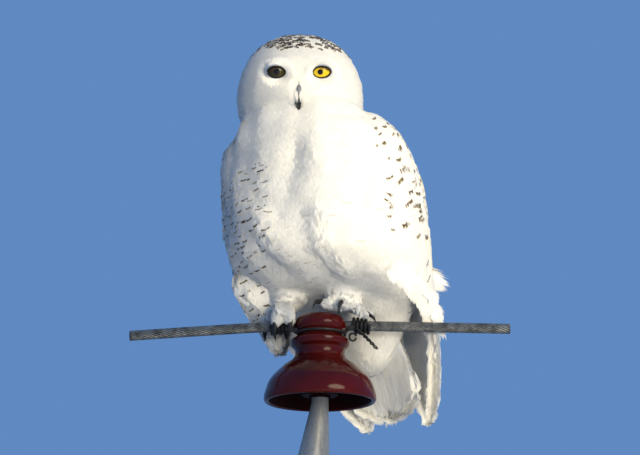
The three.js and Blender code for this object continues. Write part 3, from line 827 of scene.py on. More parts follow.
# millimetres round the line and the insulator, and heights on it, where no lock may stand
keepOut = {"wire": 7.6, "crown": 36, "top": 0.5, "waist": -50, "skirt": 42, "flare": 0.55, "rim": -112}


def clearOfPerch(points):
    p = toPerch(points[:, 3:])
    radial = np.hypot(p[..., 0], p[..., 1])
    wire = np.hypot(p[..., 1], p[..., 2] - lineHeight(p[..., 0])) < keepOut["wire"]
    down = keepOut["waist"] - p[..., 2]
    crown = (radial < keepOut["crown"]) & (p[..., 2] < keepOut["top"]) & (p[..., 2] > keepOut["waist"])
    skirt = (down > 0) & (radial < keepOut["skirt"] + keepOut["flare"] * down) & (p[..., 2] > keepOut["rim"])
    return ~(wire | crown | skirt).any(1)


# how a feather's locks are shaped; a ring has its share of the length, how far it leans out and its width
bodyStyle = {"round": 0.6, "ragged": 0.8, "open": 0.42, "reach": 0.66, "dome": 0.05, "loose": 0.001,
             "stray": 0.035, "cover": 1.35, "ridge": 0.08, "rise": 2.4, "roundOff": 0.2, "tuck": 0.36,
             "rings": [(0, 0.3, 0.5), (0.58, 0.92, 1.0), (1, 1.0, 0)]}
fineStyle = dict(bodyStyle, cover=0.95, reach=0.8, ragged=0.7, ridge=0.1, roundOff=0.24)
lidStyle = dict(bodyStyle, cover=0.9, reach=0.95, tuck=0, rings=[(0, 0.6, 0.6), (0.55, 0.9, 1.0), (1, 1.0, 0)])
bristleStyle = dict(lidStyle, cover=0.8, ragged=0.7)
openStyle = dict(bodyStyle, free=False)
vaneStyle = dict(bodyStyle, round=0.3, ragged=0.93, open=0.12, reach=0.9, stray=0.018, cover=1.25, tuck=0.12,
                 rise=5.0, rings=[(0, 0.55, 0.6), (0.3, 0.85, 1.0), (0.62, 1, 1.0), (0.9, 0.95, 0.8), (1, 0.9, 0)])


# a mark's darkness, share of tan, middle along the feather, half thickness, bend, lean and half width
plainMark = {"strength": 0.0, "tint": 0.0, "centre": 0.82, "half": 0.04, "bend": 0.0, "skew": 0.0, "wide": 0.6}


def marksFor(points, normal):
    # which feathers carry a dark mark, and its shape
    n = len(points)
    h, b, p = toHead(points), toBody(points), toPerch(points)
    dice = rng.uniform(size=n)
    mark = {key: np.full(n, amount) for key, amount in plainMark.items()}

    def give(where, strength, tint, centre, half, bend, wide, skew=0.25):
        k = where.sum()
        mark["strength"][where] = np.minimum(strength * rng.uniform(0.75, 1.0, k), 1)
        mark["tint"][where] = np.clip(tint + rng.normal(0, 0.12, k), 0, 1)
        mark["centre"][where] = centre + rng.normal(0, 0.015, k)
        mark["half"][where] = half * rng.uniform(0.7, 1.3, k)
        mark["bend"][where] = bend * rng.uniform(0.6, 1.4, k)
        mark["wide"][where] = wide * rng.uniform(0.75, 1.15, k)
        mark["skew"][where] = rng.normal(0, skew, k)

    head = (h[:, 2] > -60) & (p[:, 2] > 215)
    top = h[:, 2] + 0.11 * h[:, 1] + 0.55 * np.maximum(h[:, 1] + 12, 0)
    crown = head & (dice < 0.52 * ramp(top, 59, 65) * ramp(h[:, 2], 0, 40))
    give(crown, 1.4, 0.0, 0.86, 0.2, 0.1, 1.1)
    nape = head & (h[:, 1] > 20) & (h[:, 2] < 25) & (dice < 0.1)
    give(nape, 0.9, 0.2, 0.85, 0.05, 0.1, 0.7)
    wing = (b[:, 0] > 50) & (p[:, 0] > 66 + 0.1 * (236 - p[:, 2])) & (p[:, 2] < 240) & (p[:, 2] > 80)
    wing &= normal[:, 0] > -0.1
    give(wing & (dice < 0.52), 1.35, 0.42, 0.83, 0.065, 0.09, 0.5)
    otherWing = (b[:, 0] < -96) & (b[:, 2] < 205) & (b[:, 1] > -10)
    give(otherWing & (dice < 0.34), 1.1, 0.3, 0.82, 0.04, 0.11, 0.6)
    outside = normal[:, 1] > 0.1
    back = (b[:, 1] > 70) & (b[:, 2] > -10) & (b[:, 2] < 215) & outside
    give(back & (dice < 0.2), 0.9, 0.3, 0.82, 0.036, 0.1, 0.6)
    flank = (p[:, 0] < -62) & (b[:, 1] < 40) & (b[:, 2] < 172) & (b[:, 0] > -112)
    give(flank & (dice < 0.36), 1.1, 0.12, 0.84, 0.04, 0.05, 0.6, 0.1)
    belly = (b[:, 1] < 30) & (b[:, 2] < 62) & (p[:, 0] < 15) & (b[:, 2] > 0) & ~flank
    give(belly & (dice < 0.1), 0.5, 0.65, 0.84, 0.026, 0.04, 0.55, 0.1)
    breast = (b[:, 1] < -20) & (b[:, 2] < 150) & (b[:, 2] > 62) & ~flank & ~wing
    give(breast & (dice < 0.05), 0.4, 0.95, 0.84, 0.028, 0.04, 0.55, 0.1)
    tail = (b[:, 1] > 110) & (b[:, 2] < 30) & outside
    give(tail & (dice < 0.14), 0.6, 0.6, 0.82, 0.03, 0.02, 0.8, 0.1)
    return mark


def featherRegion():
    # everywhere but inside the lids, on the bill and on the feet, which have locks of their own
    _, across, up = fromEyes(local)
    lid = (across / (eyes["wide"] + 1.2)) ** 2 + (up / np.where(up > 0, eyes["up"] + 1.4, eyes["down"] + 1.4)) ** 2
    opening = (lid < 1) & (local[:, 1] < -35)
    bill = (np.abs(local[:, 0]) < 4.5) & (local[:, 2] < 17) & (local[:, 2] > -13) & (local[:, 1] < -60)
    return ~(opening | bill | onToe | onVanes)


# the long feathers: node, side, line and share of it where they begin, then the sizes of a feather
vanes = {"where": (("wing_left", 1, "wing", 0.5), ("wing_right", -1, "wing", 0.5), ("tail", 1, "tail", 0.0)),
         "spacing": 6.2, "shortest": 66, "longest": 92, "least": 22, "locks": 11, "halfWidth": (6, 8.5)}
onVanes = np.zeros(len(skinPoints), bool)
toTip = np.zeros(len(skinPoints))
for part, mirror, line, begins in vanes["where"]:
    here = inRegion[part]
    share = alongPath(paths[line], body * [mirror, 1, 1])[0]
    reach = np.linalg.norm(np.diff(np.array(paths[line], float), axis=0), axis=1).sum()
    onVanes |= here & (share >= begins)
    toTip = np.where(here, (1 - share) * reach, toTip)


allowed = featherRegion()
roots, rootFaces = scatter(np.maximum(size * 0.2, 1.7) * mm, allowed)
rootSize = size[skinFaces].mean(1)[rootFaces]
print("scene:", len(roots), "feathers")

inked = np.zeros((2, len(skinPoints)))
skinPlaces = KDTree(len(skinPoints))
for i, p in enumerate(skinPoints.tolist()):
    skinPlaces.insert(p, i)
skinPlaces.balance()


def inkSkin(stations, mark):
    # the skin carries each mark of the coat, under the feather that has it
    reach = 2.8 * mm
    share = np.where(mark["strength"] > 0, mark["centre"], 0)[:, None]
    place = sample(stations[0], share)[:, 0]
    for k in np.flatnonzero(mark["strength"] > 0.3):
        for _, i, _ in skinPlaces.find_range(place[k], reach):
            inked[0, i] = max(inked[0, i], mark["strength"][k])
            inked[1, i] = mark["tint"][k]


# feathers by their length: from, to and the number of locks in one
classes = [(0, 8, 4), (8, 12, 5), (12, 18, 7), (18, 26, 12), (26, 36, 18), (36, 99, 22)]
coat = Coat("coat", shadow=False)
for low, high, locks in classes:
    here = (rootSize >= low) & (rootSize < high)
    if not here.any():
        continue
    length = rootSize[here] * mm * rng.uniform(0.8, 1.15, here.sum())
    stations = march(roots[here], rootFaces[here], length, 5, freeAfter=12.0)
    lift = np.minimum(roomAt(stations[0][:, 3]) * rng.uniform(0.965, 1.0, here.sum()), 0.55 * length)
    mark = marksFor(stations[0][:, -1], stations[2][:, -1])
    coat.fans(stations, length * 0.3, lift, locks, fineStyle if high < 20 else bodyStyle, rootFaces[here], mark)
    inkSkin(stations, mark)

roots, rootFaces = scatter(np.full(len(skinPoints), vanes["spacing"] * mm), onVanes)
left = toTip[skinFaces].mean(1)[rootFaces]
length = rng.uniform(vanes["shortest"], vanes["longest"], len(roots))
length = np.minimum(length, left + rng.uniform(3, 15, len(roots))) * mm
length = np.maximum(length, vanes["least"] * mm)
stations = march(roots, rootFaces, length, 7, sway=0.035, freeAfter=4.5)
good = (skinAt(stations[0][:, -1])[2] < 12 * mm) & (left > 10)  # none that has left the wing
stations, length, rootFaces = [s[good] for s in stations], length[good], rootFaces[good]
lift = roomAt(stations[0][:, 4]) * rng.uniform(0.86, 1.06, len(length))
mark = marksFor(stations[0][:, -1], stations[2][:, -1])
coat.fans(stations, rng.uniform(*vanes["halfWidth"], len(length)) * mm, lift, vanes["locks"], vaneStyle, rootFaces,
          mark)
inkSkin(stations, mark)
print("scene:", len(length), "vanes")
for key, amount in zip(("mark", "tint"), inked):
    skin.data.attributes.new(key, "FLOAT", "POINT").data.foreach_set("value", amount.astype(np.float32))


# the last tone is painted shade: the brown of the upper lid's shadow on the eyeball
eyeTones = {"pupil": (0.004, 0.004, 0.004, 1), "rim": (0.03, 0.016, 0.006, 1), "back": (0.02, 0.012, 0.006, 1),
            "paintedLidShade": (0.06, 0.024, 0.006, 1)}


def eyeMaterial(name, iris, deep, streak):
    m, shader = newMaterial(name, Roughness=0.1, Coat_Weight=0.3, Coat_Roughness=0.02, Specular_IOR_Level=0.35)
    ring = value(m, "ring")
    fibre = add(m, "TexNoise", {"Vector": add(m, "Attribute", attribute_name="fibre").outputs["Vector"],
                                "Scale": 9.0, "Detail": 3.0}).outputs[0]
    tones = add(m, "ValToRGB", {0: between(m, ring, 0.0, 14.0)})
    stops = tones.color_ramp.elements
    stops[0].position, stops[0].color = 0.0, eyeTones["pupil"]
    stops[1].position, stops[1].color = 1.0, eyeTones["back"]
    for place, tint in ((0.225, eyeTones["pupil"]), (0.25, deep), (0.34, iris), (0.72, iris), (0.86, deep),
                        (0.93, eyeTones["rim"])):
        stops.new(place).color = tint
    shade = blend(m, between(m, fibre, 0.35, 0.75, 0.0, 0.3), tones.outputs[0], streak)
    inIris = between(m, ring, 3.4, 3.8)
    seen = blend(m, inIris, tones.outputs[0], shade)
    # the eyeball is painted brown under the upper lid, as painted shade of the lid's shadow
    colour(m, shader, blend(m, value(m, "paintedLidShade"), seen, eyeTones["paintedLidShade"]))
    return m


eyeLooks = {
    "left": {"iris": (0.93, 0.66, 0.012, 1), "deep": (0.62, 0.33, 0.006, 1), "streak": (0.6, 0.3, 0.008, 1),
             "gaze": (-0.10, -1, 0.05)},
    # the right iris is the left one's yellow painted dark olive: painted shade, as that eye lies in shade
    "right": {"iris": (0.046, 0.036, 0.006, 1), "deep": (0.022, 0.015, 0.004, 1), "streak": (0.03, 0.018, 0.005, 1),
              "gaze": (0.0, -1, 0.05)},
}


def eyeball(side):
    look = eyeLooks[side]
    centre = np.array([eyeSlots[side] * eyes["side"], eyes["front"], eyes["height"]])
    gaze = unit(np.array(look["gaze"], float))
    right = unit(np.cross(gaze, [0, 0, 1]))
    up = np.cross(right, gaze)
    rows, sides = 47, 64
    angle = np.linspace(0.0, math.pi, rows + 2)[1:-1]
    turns = around(sides)
    reach = eyes["radius"] + 1.3 * np.exp(-((angle / 0.5) ** 4))
    spoke = np.cos(turns)[None, :, None] * right + np.sin(turns)[None, :, None] * up
    rings = centre + (reach * np.cos(angle))[:, None, None] * gaze + (reach * np.sin(angle))[:, None, None] * spoke
    points = np.concatenate([rings.reshape(-1, 3), [centre + gaze * (eyes["radius"] + 1.3)],
                             [centre - gaze * eyes["radius"]]])
    front, rear = len(points) - 2, len(points) - 1
    c = np.arange(sides)
    first = np.stack([np.full(sides, front), c, (c + 1) % sides], 1)
    last = (rows - 1) * sides + np.stack([np.full(sides, rear - (rows - 1) * sides), (c + 1) % sides, c], 1)
    faces = [gridFaces(rows, sides), first[:, ::-1], last[:, ::-1]]
    behind = 40 * (np.repeat(angle, sides) > 1.6)  # the eyeball's back is far from the pupil
    ring = np.concatenate([np.repeat(reach * np.sin(angle), sides) + behind, [0, 50]])
    x = (points[:, 0] - centre[0]) * eyeSlots[side]
    z = points[:, 2] - centre[2]
    # painted shade: the upper lid's shadow, painted on the top of the eyeball
    under = ramp(z + 0.32 * x, 3.2, 6.2) * (points[:, 1] < centre[1]) * (ring > 3.6)  # shade of the upper lid
    material = eyeMaterial(f"eye_{side}", look["iris"], look["deep"], look["streak"])
    piece = buildMesh(f"eyeball_{side}", inHead(points), faces, material, {"ring": ring, "paintedLidShade": under * 0.85})
    fibre = np.stack([np.tile(np.cos(turns), rows), np.tile(np.sin(turns), rows), np.repeat(angle, sides) * 0.3], 1)
    fibre = np.concatenate([fibre, np.zeros((2, 3))])
    piece.data.attributes.new("fibre", "FLOAT_VECTOR", "POINT").data.foreach_set("vector", fibre.ravel())
    belongs(piece, "iris", f"eye_{side}")


lidColours = {"rim": (0.012, 0.009, 0.008, 1), "skin": (0.62, 0.6, 0.56, 1)}


def lidMaterial():
    m, shader = newMaterial("lid", Roughness=0.55, Specular_IOR_Level=0.3)
    colour(m, shader, blend(m, between(m, value(m, "rim"), 0.35, 0.75), lidColours["rim"], lidColours["skin"]))
    bump(m, shader, noise(m, 900.0, 2.0), 0.0003, 0.5)
    return m


lidLook = lidMaterial()
lidRings = [(-0.7, 0.1, 0.0), (-0.2, 1.1, 0.0), (0.7, 1.9, 0.1), (1.7, 1.8, 0.5), (3.6, 1.0, 1.0), (7.0, -1.5, 1.0),
            (8.0, -6.0, 1.0), (1.5, -4.0, 0.0)]  # out from the opening, off the eyeball, and how pale


def lidPoint(side, turns, out, off, over=0.0):
    sign = eyeSlots[side]
    c, s = np.cos(turns), np.sin(turns)
    high = np.where(s > 0, eyes["up"], eyes["down"]) + out
    x = (eyes["wide"] + out) * np.sign(c) * np.abs(c) ** 0.97
    z = high * np.sign(s) * np.abs(s) ** 1.06 + 0.5 * c * sign + eyes["raise"] - 0.3 * over
    y = -np.sqrt(np.maximum((eyes["radius"] + off + over) ** 2 - x**2 - z**2, 4.0))
    return np.stack([sign * eyes["side"] + x, eyes["front"] + y, eyes["height"] + z], -1)


def lids(side):
    sides = 96
    turns = around(sides)
    rings, rims = [], []
    for out, off, rim in lidRings:
        over = 1.2 * np.clip(np.sin(turns), 0, 1) * (-0.5 < out < 2.0)  # the upper lid stands over the eye
        rings.append(lidPoint(side, turns, out, off, over))
        rims.append(np.full(sides, rim))
    last = (len(lidRings) - 1) * sides
    k, after = np.arange(sides), (np.arange(sides) + 1) % sides
    faces = [gridFaces(len(lidRings), sides, flip=True), np.stack([k, after, last + after, last + k], 1)]
    points = inHead(np.concatenate(rings))
    belongs(buildMesh(f"lids_{side}", points, faces, lidLook, {"rim": np.concatenate(rims)}), "horn")


# rows of feathers on the lids: how far out from the opening, how long and how many
lidRows = [(1.0, 4.6, 120), (2.0, 5.2, 130), (3.4, 5.8, 140), (5.0, 6.6, 150), (6.8, 7.4, 160)]


def lidFeathers(coat, side):
    # short feathers on the lids, pointing away from the eye
    for out, length, count in lidRows:
        turns = around(count) + rng.normal(0, 0.03, count)
        reach = length * rng.uniform(0.55, 1.35, count)
        stations = []
        for share in (0.0, 0.5, 1.0):
            p = lidPoint(side, turns, out + share * reach, 1.2)
            face = faceFront(p[:, 0], p[:, 2]) + 2.6 * share**2 - 1.0
            stand = lidPoint(side, turns, out + share * reach, 1.9 - 0.6 * out)[:, 1]
            p[:, 1] = np.minimum(face + 1.6 * (1 - share), stand)
            p = inHead(p)
            found, at, _ = skinAt(p)  # the tips lie at the height of the face's own feathers
            coatTop = found + faceNormal[at] * (0.8 * room[skinFaces].mean(1)[at] * mm)[:, None]
            stations.append(p * (1 - share**1.5) + coatTop * share**1.5)
        place = np.stack(stations, 1)
        laid(coat, place, outOfFace, 1.1, rng.uniform(0.3, 0.9, count), 3, lidStyle)


def faceFront(x, z):
    # the face's outer surface, as far forward as the coat reaches
    push = 0
    for fx, fz, wide, tall, out in faceForms:
        for sign in (-1, 1) if fx else (1,):
            push = push + out * np.exp(-0.5 * (((x - sign * fx) / wide) ** 2 + ((z - fz) / tall) ** 2))
    dome = np.maximum(1 - (z / np.where(z < 0, 84, 87)) ** 2 - (x / 85) ** 2, 0.01)
    return -66 * np.sqrt(dome) - push


# swellings and hollows of the face: across, up, width, height and how far out
faceForms = [(34, 20, 30, 34, 8), (29.7, 36, 12, 10, -7), (20, 52, 13, 9, 5), (0, 20, 8, 20, 9), (13, 0, 12, 11, 5)]
for side in ("left", "right"):
    eyeball(side)
    lids(side)
    lidFeathers(coat, side)
coat.pieces("plumage")
print("scene: eyes and lids")


hornColours = {"black": (0.006, 0.006, 0.007, 1), "worn": (0.018, 0.017, 0.019, 1), "ridge": (0.3, 0.29, 0.28, 1)}


def hornMaterial():
    m, shader = newMaterial("horn", Roughness=0.38, Specular_IOR_Level=0.35, Coat_Weight=0.1, Coat_Roughness=0.2)
    grain = noise(m, 260.0, 3.0, (1.0, 1.0, 0.35))
    black = blend(m, between(m, grain, 0.35, 0.7), hornColours["black"], hornColours["worn"])
    colour(m, shader, blend(m, value(m, "pale"), black, hornColours["ridge"]))  # the bill turns grey towards its upper ridge
    bump(m, shader, grain, 0.0002, 0.5)
    return m


horn = hornMaterial()
billUpper = np.array([(26, -6, 0.3), (17, -3, 5), (7, -1, 5.6), (-2, 0.5, 3.8), (-9, 0, 2.1), (-14, -4, 0.25)], float)
billLower = np.array([(10, -12, 0.5), (2, -9, 4.4), (-6, -6.5, 3.2), (-11, -7, 0.4)], float)


def billPiece(name, points, node):
    # each row is a height, how far it stands out of the face, and the radius there
    count = 26
    p = throughPoints(points, count)
    line = np.stack([np.zeros(count), faceFront(0 * p[:, 0], p[:, 0]) - p[:, 1], p[:, 0]], 1)
    shape, faces = tube(line, np.maximum(p[:, 2], 0.2), 20, flat=0.82, sideHint=(0, 1, 0.01))
    pale = {"pale": 0.85 * ramp(shape[:, 2], 3, 12)}
    belongs(buildMesh(name, inHead(shape), faces, horn, pale), "horn", node)


billPiece("bill_top", billUpper, "bill_upper")
billPiece("bill_bottom", billLower, "bill_lower")


bristleSet = {"count": 760, "halfWidth": 0.65, "lift": 0.4, "locks": 3}


def bristles():
    # stiff fine feathers that start beside the eyes and hide the bill but for its ridge and tip
    count = bristleSet["count"]
    side = np.where(np.arange(count) % 2, 1.0, -1.0)
    x0 = side * (1.15 + 8.3 * rng.uniform(0, 1, count) ** 1.25)
    z0 = np.where(np.abs(x0) < 5, rng.uniform(9, 33, count), rng.uniform(5, 31, count)) - 0.25 * np.abs(x0)
    length = rng.uniform(9, 15, count)
    out = billUpper[::-1]
    stations = []
    for share in (0.0, 0.33, 0.67, 1.0):
        x = x0 * (1 + share * (0.08 + 0.75 * (x0 / 9.5) ** 2))
        z = np.maximum(z0 - length * share, -1.5 - 0.6 * np.abs(x))
        reach, r = np.interp(z, out[:, 0], out[:, 1]), np.interp(z, out[:, 0], out[:, 2])
        bill = reach + np.sqrt(np.maximum(r**2 - (x * 1.05) ** 2, 0))
        bill = np.where(np.abs(x) < r, bill, reach * 0)
        y = faceFront(x, z) - np.maximum(bill, 0) - 0.2 - 0.9 * np.sin(share * 2.6) * (np.abs(x0) / 9 + 0.3)
        stations.append(np.stack([x, y + 0.5 * (1 - share), z], 1))
    place = inHead(np.stack(stations, 1))
    tufts = Coat("bristles", shadow=False)
    laid(tufts, place, outOfFace, bristleSet["halfWidth"], bristleSet["lift"], bristleSet["locks"], bristleStyle)
    tufts.pieces("plumage")


bristles()


clawShape = {"rings": 18, "sides": 14, "radius": 3.9, "flat": 0.88}


def claws():
    for side, foot in feet.items():
        for i, (_, claw) in enumerate(foot["toes"]):
            a, b, c = atPerch(claw)
            t = np.linspace(0, 1, clawShape["rings"])[:, None]
            line = a * (1 - t) ** 2 + 2 * b * t * (1 - t) + c * t**2
            radii = clawShape["radius"] * mm * np.maximum(1 - t[:, 0] ** 1.4, 0.05) ** 0.85
            shape, faces = tube(line, radii, clawShape["sides"], flat=clawShape["flat"])
            belongs(buildMesh(f"talon_{side}_{i + 1}", shape, faces, horn), "horn", f"claw_{side}_{i + 1}")


claws()
print("scene: bill and claws")


footCoat = {"spacing": 1.9, "halfWidth": 1.9, "shortest": 9, "longest": 14, "locks": 4,
            "fringeCount": 9, "fringeWidth": 2.4, "fringeLift": 1, "fringeLocks": 7,
            "fringe": ((36, -25, 10), (42, -20, 9), (49, -16, 8), (55, -16, 6), (57, -15, 4), (-48, -21, 5),
                       (-62, 8, 3), (19, -22, 10))}  # middles of longer feathers that hang over the wire


def feetCoat():
    coat = Coat("coat_feet")
    legs = inRegion["leg_left"] | inRegion["leg_right"]
    roots, faces = scatter(np.full(len(skinPoints), footCoat["spacing"] * mm), onToe | legs)
    length = rng.uniform(footCoat["shortest"], footCoat["longest"], len(roots)) * mm
    stations = march(roots, faces, length, 5, sway=0.16, freeAfter=3.5)
    lift = roomAt(stations[0][:, 3]) * rng.uniform(0.9, 1.4, len(roots))
    coat.fans(stations, np.full(len(roots), footCoat["halfWidth"] * mm), lift, footCoat["locks"], fineStyle, faces)
    count = footCoat["fringeCount"]
    out = unit(atPerch([[0, -1, 0]]) - atPerch([[0, 0, 0]]))
    for centre in footCoat["fringe"]:
        start = np.array(centre) + rng.normal(0, 1, (count, 3)) * [4.5, 1.5, 1.5]
        fall = np.stack([rng.normal(0.5, 1.6, count), rng.normal(-3.5, 1.2, count), -rng.uniform(8, 15, count)], 1)
        line = np.stack([start + fall * t + np.outer(np.ones(count), [0, -5.5 * t * (1 - t), 3 * t * (1 - t)])
                         for t in (0, 0.33, 0.67, 1)], 1)
        laid(coat, atPerch(line), out, footCoat["fringeWidth"], footCoat["fringeLift"], footCoat["fringeLocks"],
             bristleStyle)
    coat.pieces("plumage")


feetCoat()


# tufts: root, middle and tip in the body's frame, radius and number of feathers
tuftSets = [((82, 100, 68), (96, 128, 60), (110, 152, 54), 17, 46),
            ((78, 112, 30), (90, 138, 22), (98, 154, 18), 12, 30)]
tuftSpread = np.array([0.35, 0.62, 0.84, 0.97, 1.0, 0.95, 0.84])
# the folded wing's front edge, and the long flank feathers that hang under it
hanging = {"count": 64, "edge": [(108, 6, 60), (116, 22, 50), (117, 42, 38), (117, 60, 28), (113, 84, 16),
                                 (104, 104, 2)], "lift": 1.2, "locks": 14, "faces": np.array([0.75, -0.6, 0.1])}


def blownTufts():
    # feathers that the wind has turned out beyond the wing
    coat = Coat("coat_tufts", shadow=False)
    for root, middle, tip, radius, count in tuftSets:
        axis = unit(np.array(tip, float) - root)
        side = unit(np.cross(axis, [0, 0, 1]))
        up = np.cross(side, axis)
        turns, share = rng.uniform(0, 2 * math.pi, count), np.sqrt(rng.uniform(0, 1, count))
        disk = (np.cos(turns) * share)[:, None] * side + (np.sin(turns) * share)[:, None] * up
        ends = 1 - 0.34 * share**2 * rng.uniform(0.5, 1.2, count)
        line = throughPoints([root, middle, tip], 7)
        spread = tuftSpread * radius
        rows = []
        for k in range(7):
            along = ends * k
            i = np.minimum(along.astype(int), 5)
            f = (along - i)[:, None]
            middleLine = line[i] * (1 - f) + line[i + 1] * f
            width = spread[i] * (1 - f[:, 0]) + spread[i + 1] * f[:, 0]
            sag = np.array([0, 0, -2.5]) * (k / 6) ** 2
            rows.append(middleLine + disk * width[:, None] + sag)
        place = inBody(np.stack(rows, 1))
        heading = unit(np.gradient(place, axis=1))
        outward = unit(np.repeat((disk + 0.2 * up)[:, None], 7, 1))
        normal = unit(outward - (outward * heading).sum(2, keepdims=True) * heading)
        coat.fans((place, heading, normal), rng.uniform(5, 8, count) * mm, np.full(count, 1.5 * mm), 16, openStyle,
                  skinAt(place[:, 0])[1])
    edge = throughPoints(hanging["edge"], 60)
    count = hanging["count"]
    start = edge[rng.integers(0, 60, count)] + rng.normal(0, 1, (count, 3)) * [3, 3, 3]
    start = start - rng.uniform(-8, 2, (count, 1)) * [1, 0, -0.3]
    fall = unit(rng.normal(0, 0.12, (count, 3)) + [-0.1, 0.5, -0.85]) * rng.uniform(26, 40, (count, 1))
    line = np.stack([start + fall * t + np.outer(t * (1 - t) * np.ones(count), [5, 0, 3])
                     for t in (0, 0.25, 0.5, 0.75, 1)], 1)
    laid(coat, inBody(line), hanging["faces"], rng.uniform(7, 10, count), hanging["lift"], hanging["locks"],
         openStyle)
    coat.pieces("plumage", *tuftNames)


blownTufts()
print("scene: feet and blown tufts")


# the under colour is painted shade: the glaze under the skirt is painted darker where light does not reach
glazeLook = {"red": (0.07, 0.0036, 0.0026, 1), "deep": (0.03, 0.0026, 0.0022, 1), "under": (0.014, 0.0018, 0.0015, 1),
             "roughness": (0.12, 0.5), "specular": (0.26, 0.04)}  # outside, and under the skirt


def glazeMaterial():
    m, shader = newMaterial("glaze", Roughness=glazeLook["roughness"][0], Specular_IOR_Level=glazeLook["specular"][0])
    pool = between(m, noise(m, 14.0, 3.0), 0.35, 0.7)
    red = blend(m, pool, glazeLook["red"], glazeLook["deep"])
    shadeUnderSkirt = value(m, "shadeUnderSkirt")  # under the skirt the glaze is painted near black as painted shade, and is rougher with less shine
    colour(m, shader, blend(m, shadeUnderSkirt, red, glazeLook["under"]))
    plug(m, between(m, shadeUnderSkirt, 0, 1, *glazeLook["roughness"]), shader, "Roughness")
    plug(m, between(m, shadeUnderSkirt, 0, 1, *glazeLook["specular"]), shader, "Specular IOR Level")
    bump(m, shader, noise(m, 60.0, 1.0), 0.0004, 0.25)
    return m


insulatorShape = {  # radius and height from the crown down, round the skirt's rim and up the pin hole
    "profile": [(0, 0), (12, 0), (22, -0.6), (29, -4), (32.6, -9), (34, -15), (32.4, -19), (30, -22.5), (29.6, -27),
                (33, -30), (36.8, -33), (37.4, -36), (36.4, -40), (32.4, -44), (31.2, -48), (31.8, -53), (36, -58.5),
                (47, -66.5), (58, -77), (64.5, -86), (68.4, -97), (70, -104), (69.6, -109), (67.4, -111),
                (64.6, -110), (62, -106), (57, -94), (52, -87), (46, -82.6), (37, -79.4), (28, -79), (26, -84),
                (24, -98), (22.6, -102), (20, -103), (14, -103), (13, -101), (13, -34), (0, -34)],
    "rings": 420, "sides": 160, "grooveRadius": 12, "grooveHeight": -8.2}


def insulator():
    sides, groove = insulatorShape["sides"], insulatorShape["grooveRadius"]
    rows = throughPoints(insulatorShape["profile"], insulatorShape["rings"])
    crown = np.stack([np.linspace(0.4, 12, 16), np.zeros(16)], 1)
    rows = np.concatenate([crown, rows[(rows[:, 0] > 12.4) | (rows[:, 1] < -5)][:-1]])
    rows[:, 0] = np.maximum(rows[:, 0], 0.4)
    angle = around(sides)
    x = rows[:, :1] * np.cos(angle)
    y = rows[:, :1] * np.sin(angle)
    z = np.repeat(rows[:, 1:], sides, 1)
    saddle = insulatorShape["grooveHeight"] - np.sqrt(np.maximum(groove**2 - y**2, 0))  # the line lies in it
    top = (np.abs(y) < groove) & (z > -22) & (np.hypot(x, y) < 36)
    z = np.where(top, np.minimum(z, saddle), z)
    points = atPerch(np.stack([x, y, z], -1).reshape(-1, 3))
    faces = [f[:, ::-1] for f in closedRings(len(rows), sides)]
    # the rows under the skirt get the painted shade and the rougher glaze
    under = np.repeat(np.arange(len(rows)) > rows[:, 1].argmin() + 4, sides).astype(float)
    belongs(buildMesh("insulator", points, faces, glazeMaterial(), {"shadeUnderSkirt": under}), "glaze", "perch_insulator")


metals = {
    "strand": {"light": (0.27, 0.275, 0.265, 1), "dark": (0.08, 0.082, 0.08, 1), "metallic": 0.7, "scale": 90.0},
    "tie_metal": {"light": (0.035, 0.034, 0.034, 1), "dark": (0.012, 0.011, 0.011, 1), "metallic": 0.5,
                  "scale": 200.0},
}


def metalMaterial(name):
    look, roughness = metals[name], 0.45
    m, shader = newMaterial(name, Metallic=look["metallic"], Roughness=roughness)
    stain = between(m, noise(m, look["scale"], 5.0, None, 0.65), 0.36, 0.66)
    colour(m, shader, blend(m, stain, look["light"], look["dark"]))
    plug(m, between(m, stain, 0, 1, roughness - 0.08, roughness + 0.14), shader, "Roughness")
    bump(m, shader, noise(m, look["scale"] * 4, 3.0), 0.0002, 0.6)
    return m


# layers of strands, from outside in: distance from the middle, number, radius, length of a turn and sides
conductorShape = {"reach": 240, "stations": 241,
                  "layers": ((5.15, 12, 1.35, 88.0, 8), (2.6, 6, 1.3, -60.0, 6), (0, 1, 1.3, 1e9, 6))}


def conductor():
    parts = []
    h = np.linspace(-conductorShape["reach"], conductorShape["reach"], conductorShape["stations"])
    for reach, count, radius, lay, sides in conductorShape["layers"]:
        for i in range(count):
            turned = 2 * math.pi * (i / count + h / lay)
            line = np.stack([h, reach * np.cos(turned), lineHeight(h) + reach * np.sin(turned)], 1)
            parts.append(tube(atPerch(line), radius * mm, sides))
    points, faces = joined(parts)
    belongs(buildMesh("conductor", points, faces, metalMaterial("strand")), "strand", "perch_conductor")


tieShape = {"radius": 2, "sides": 12, "stations": 620, "turns": 4, "pitch": 5, "start": 42, "wrap": 9.4,
            "neck": 32.4, "neckHeight": -25.0, "endRadius": 1.3, "endSides": 9}


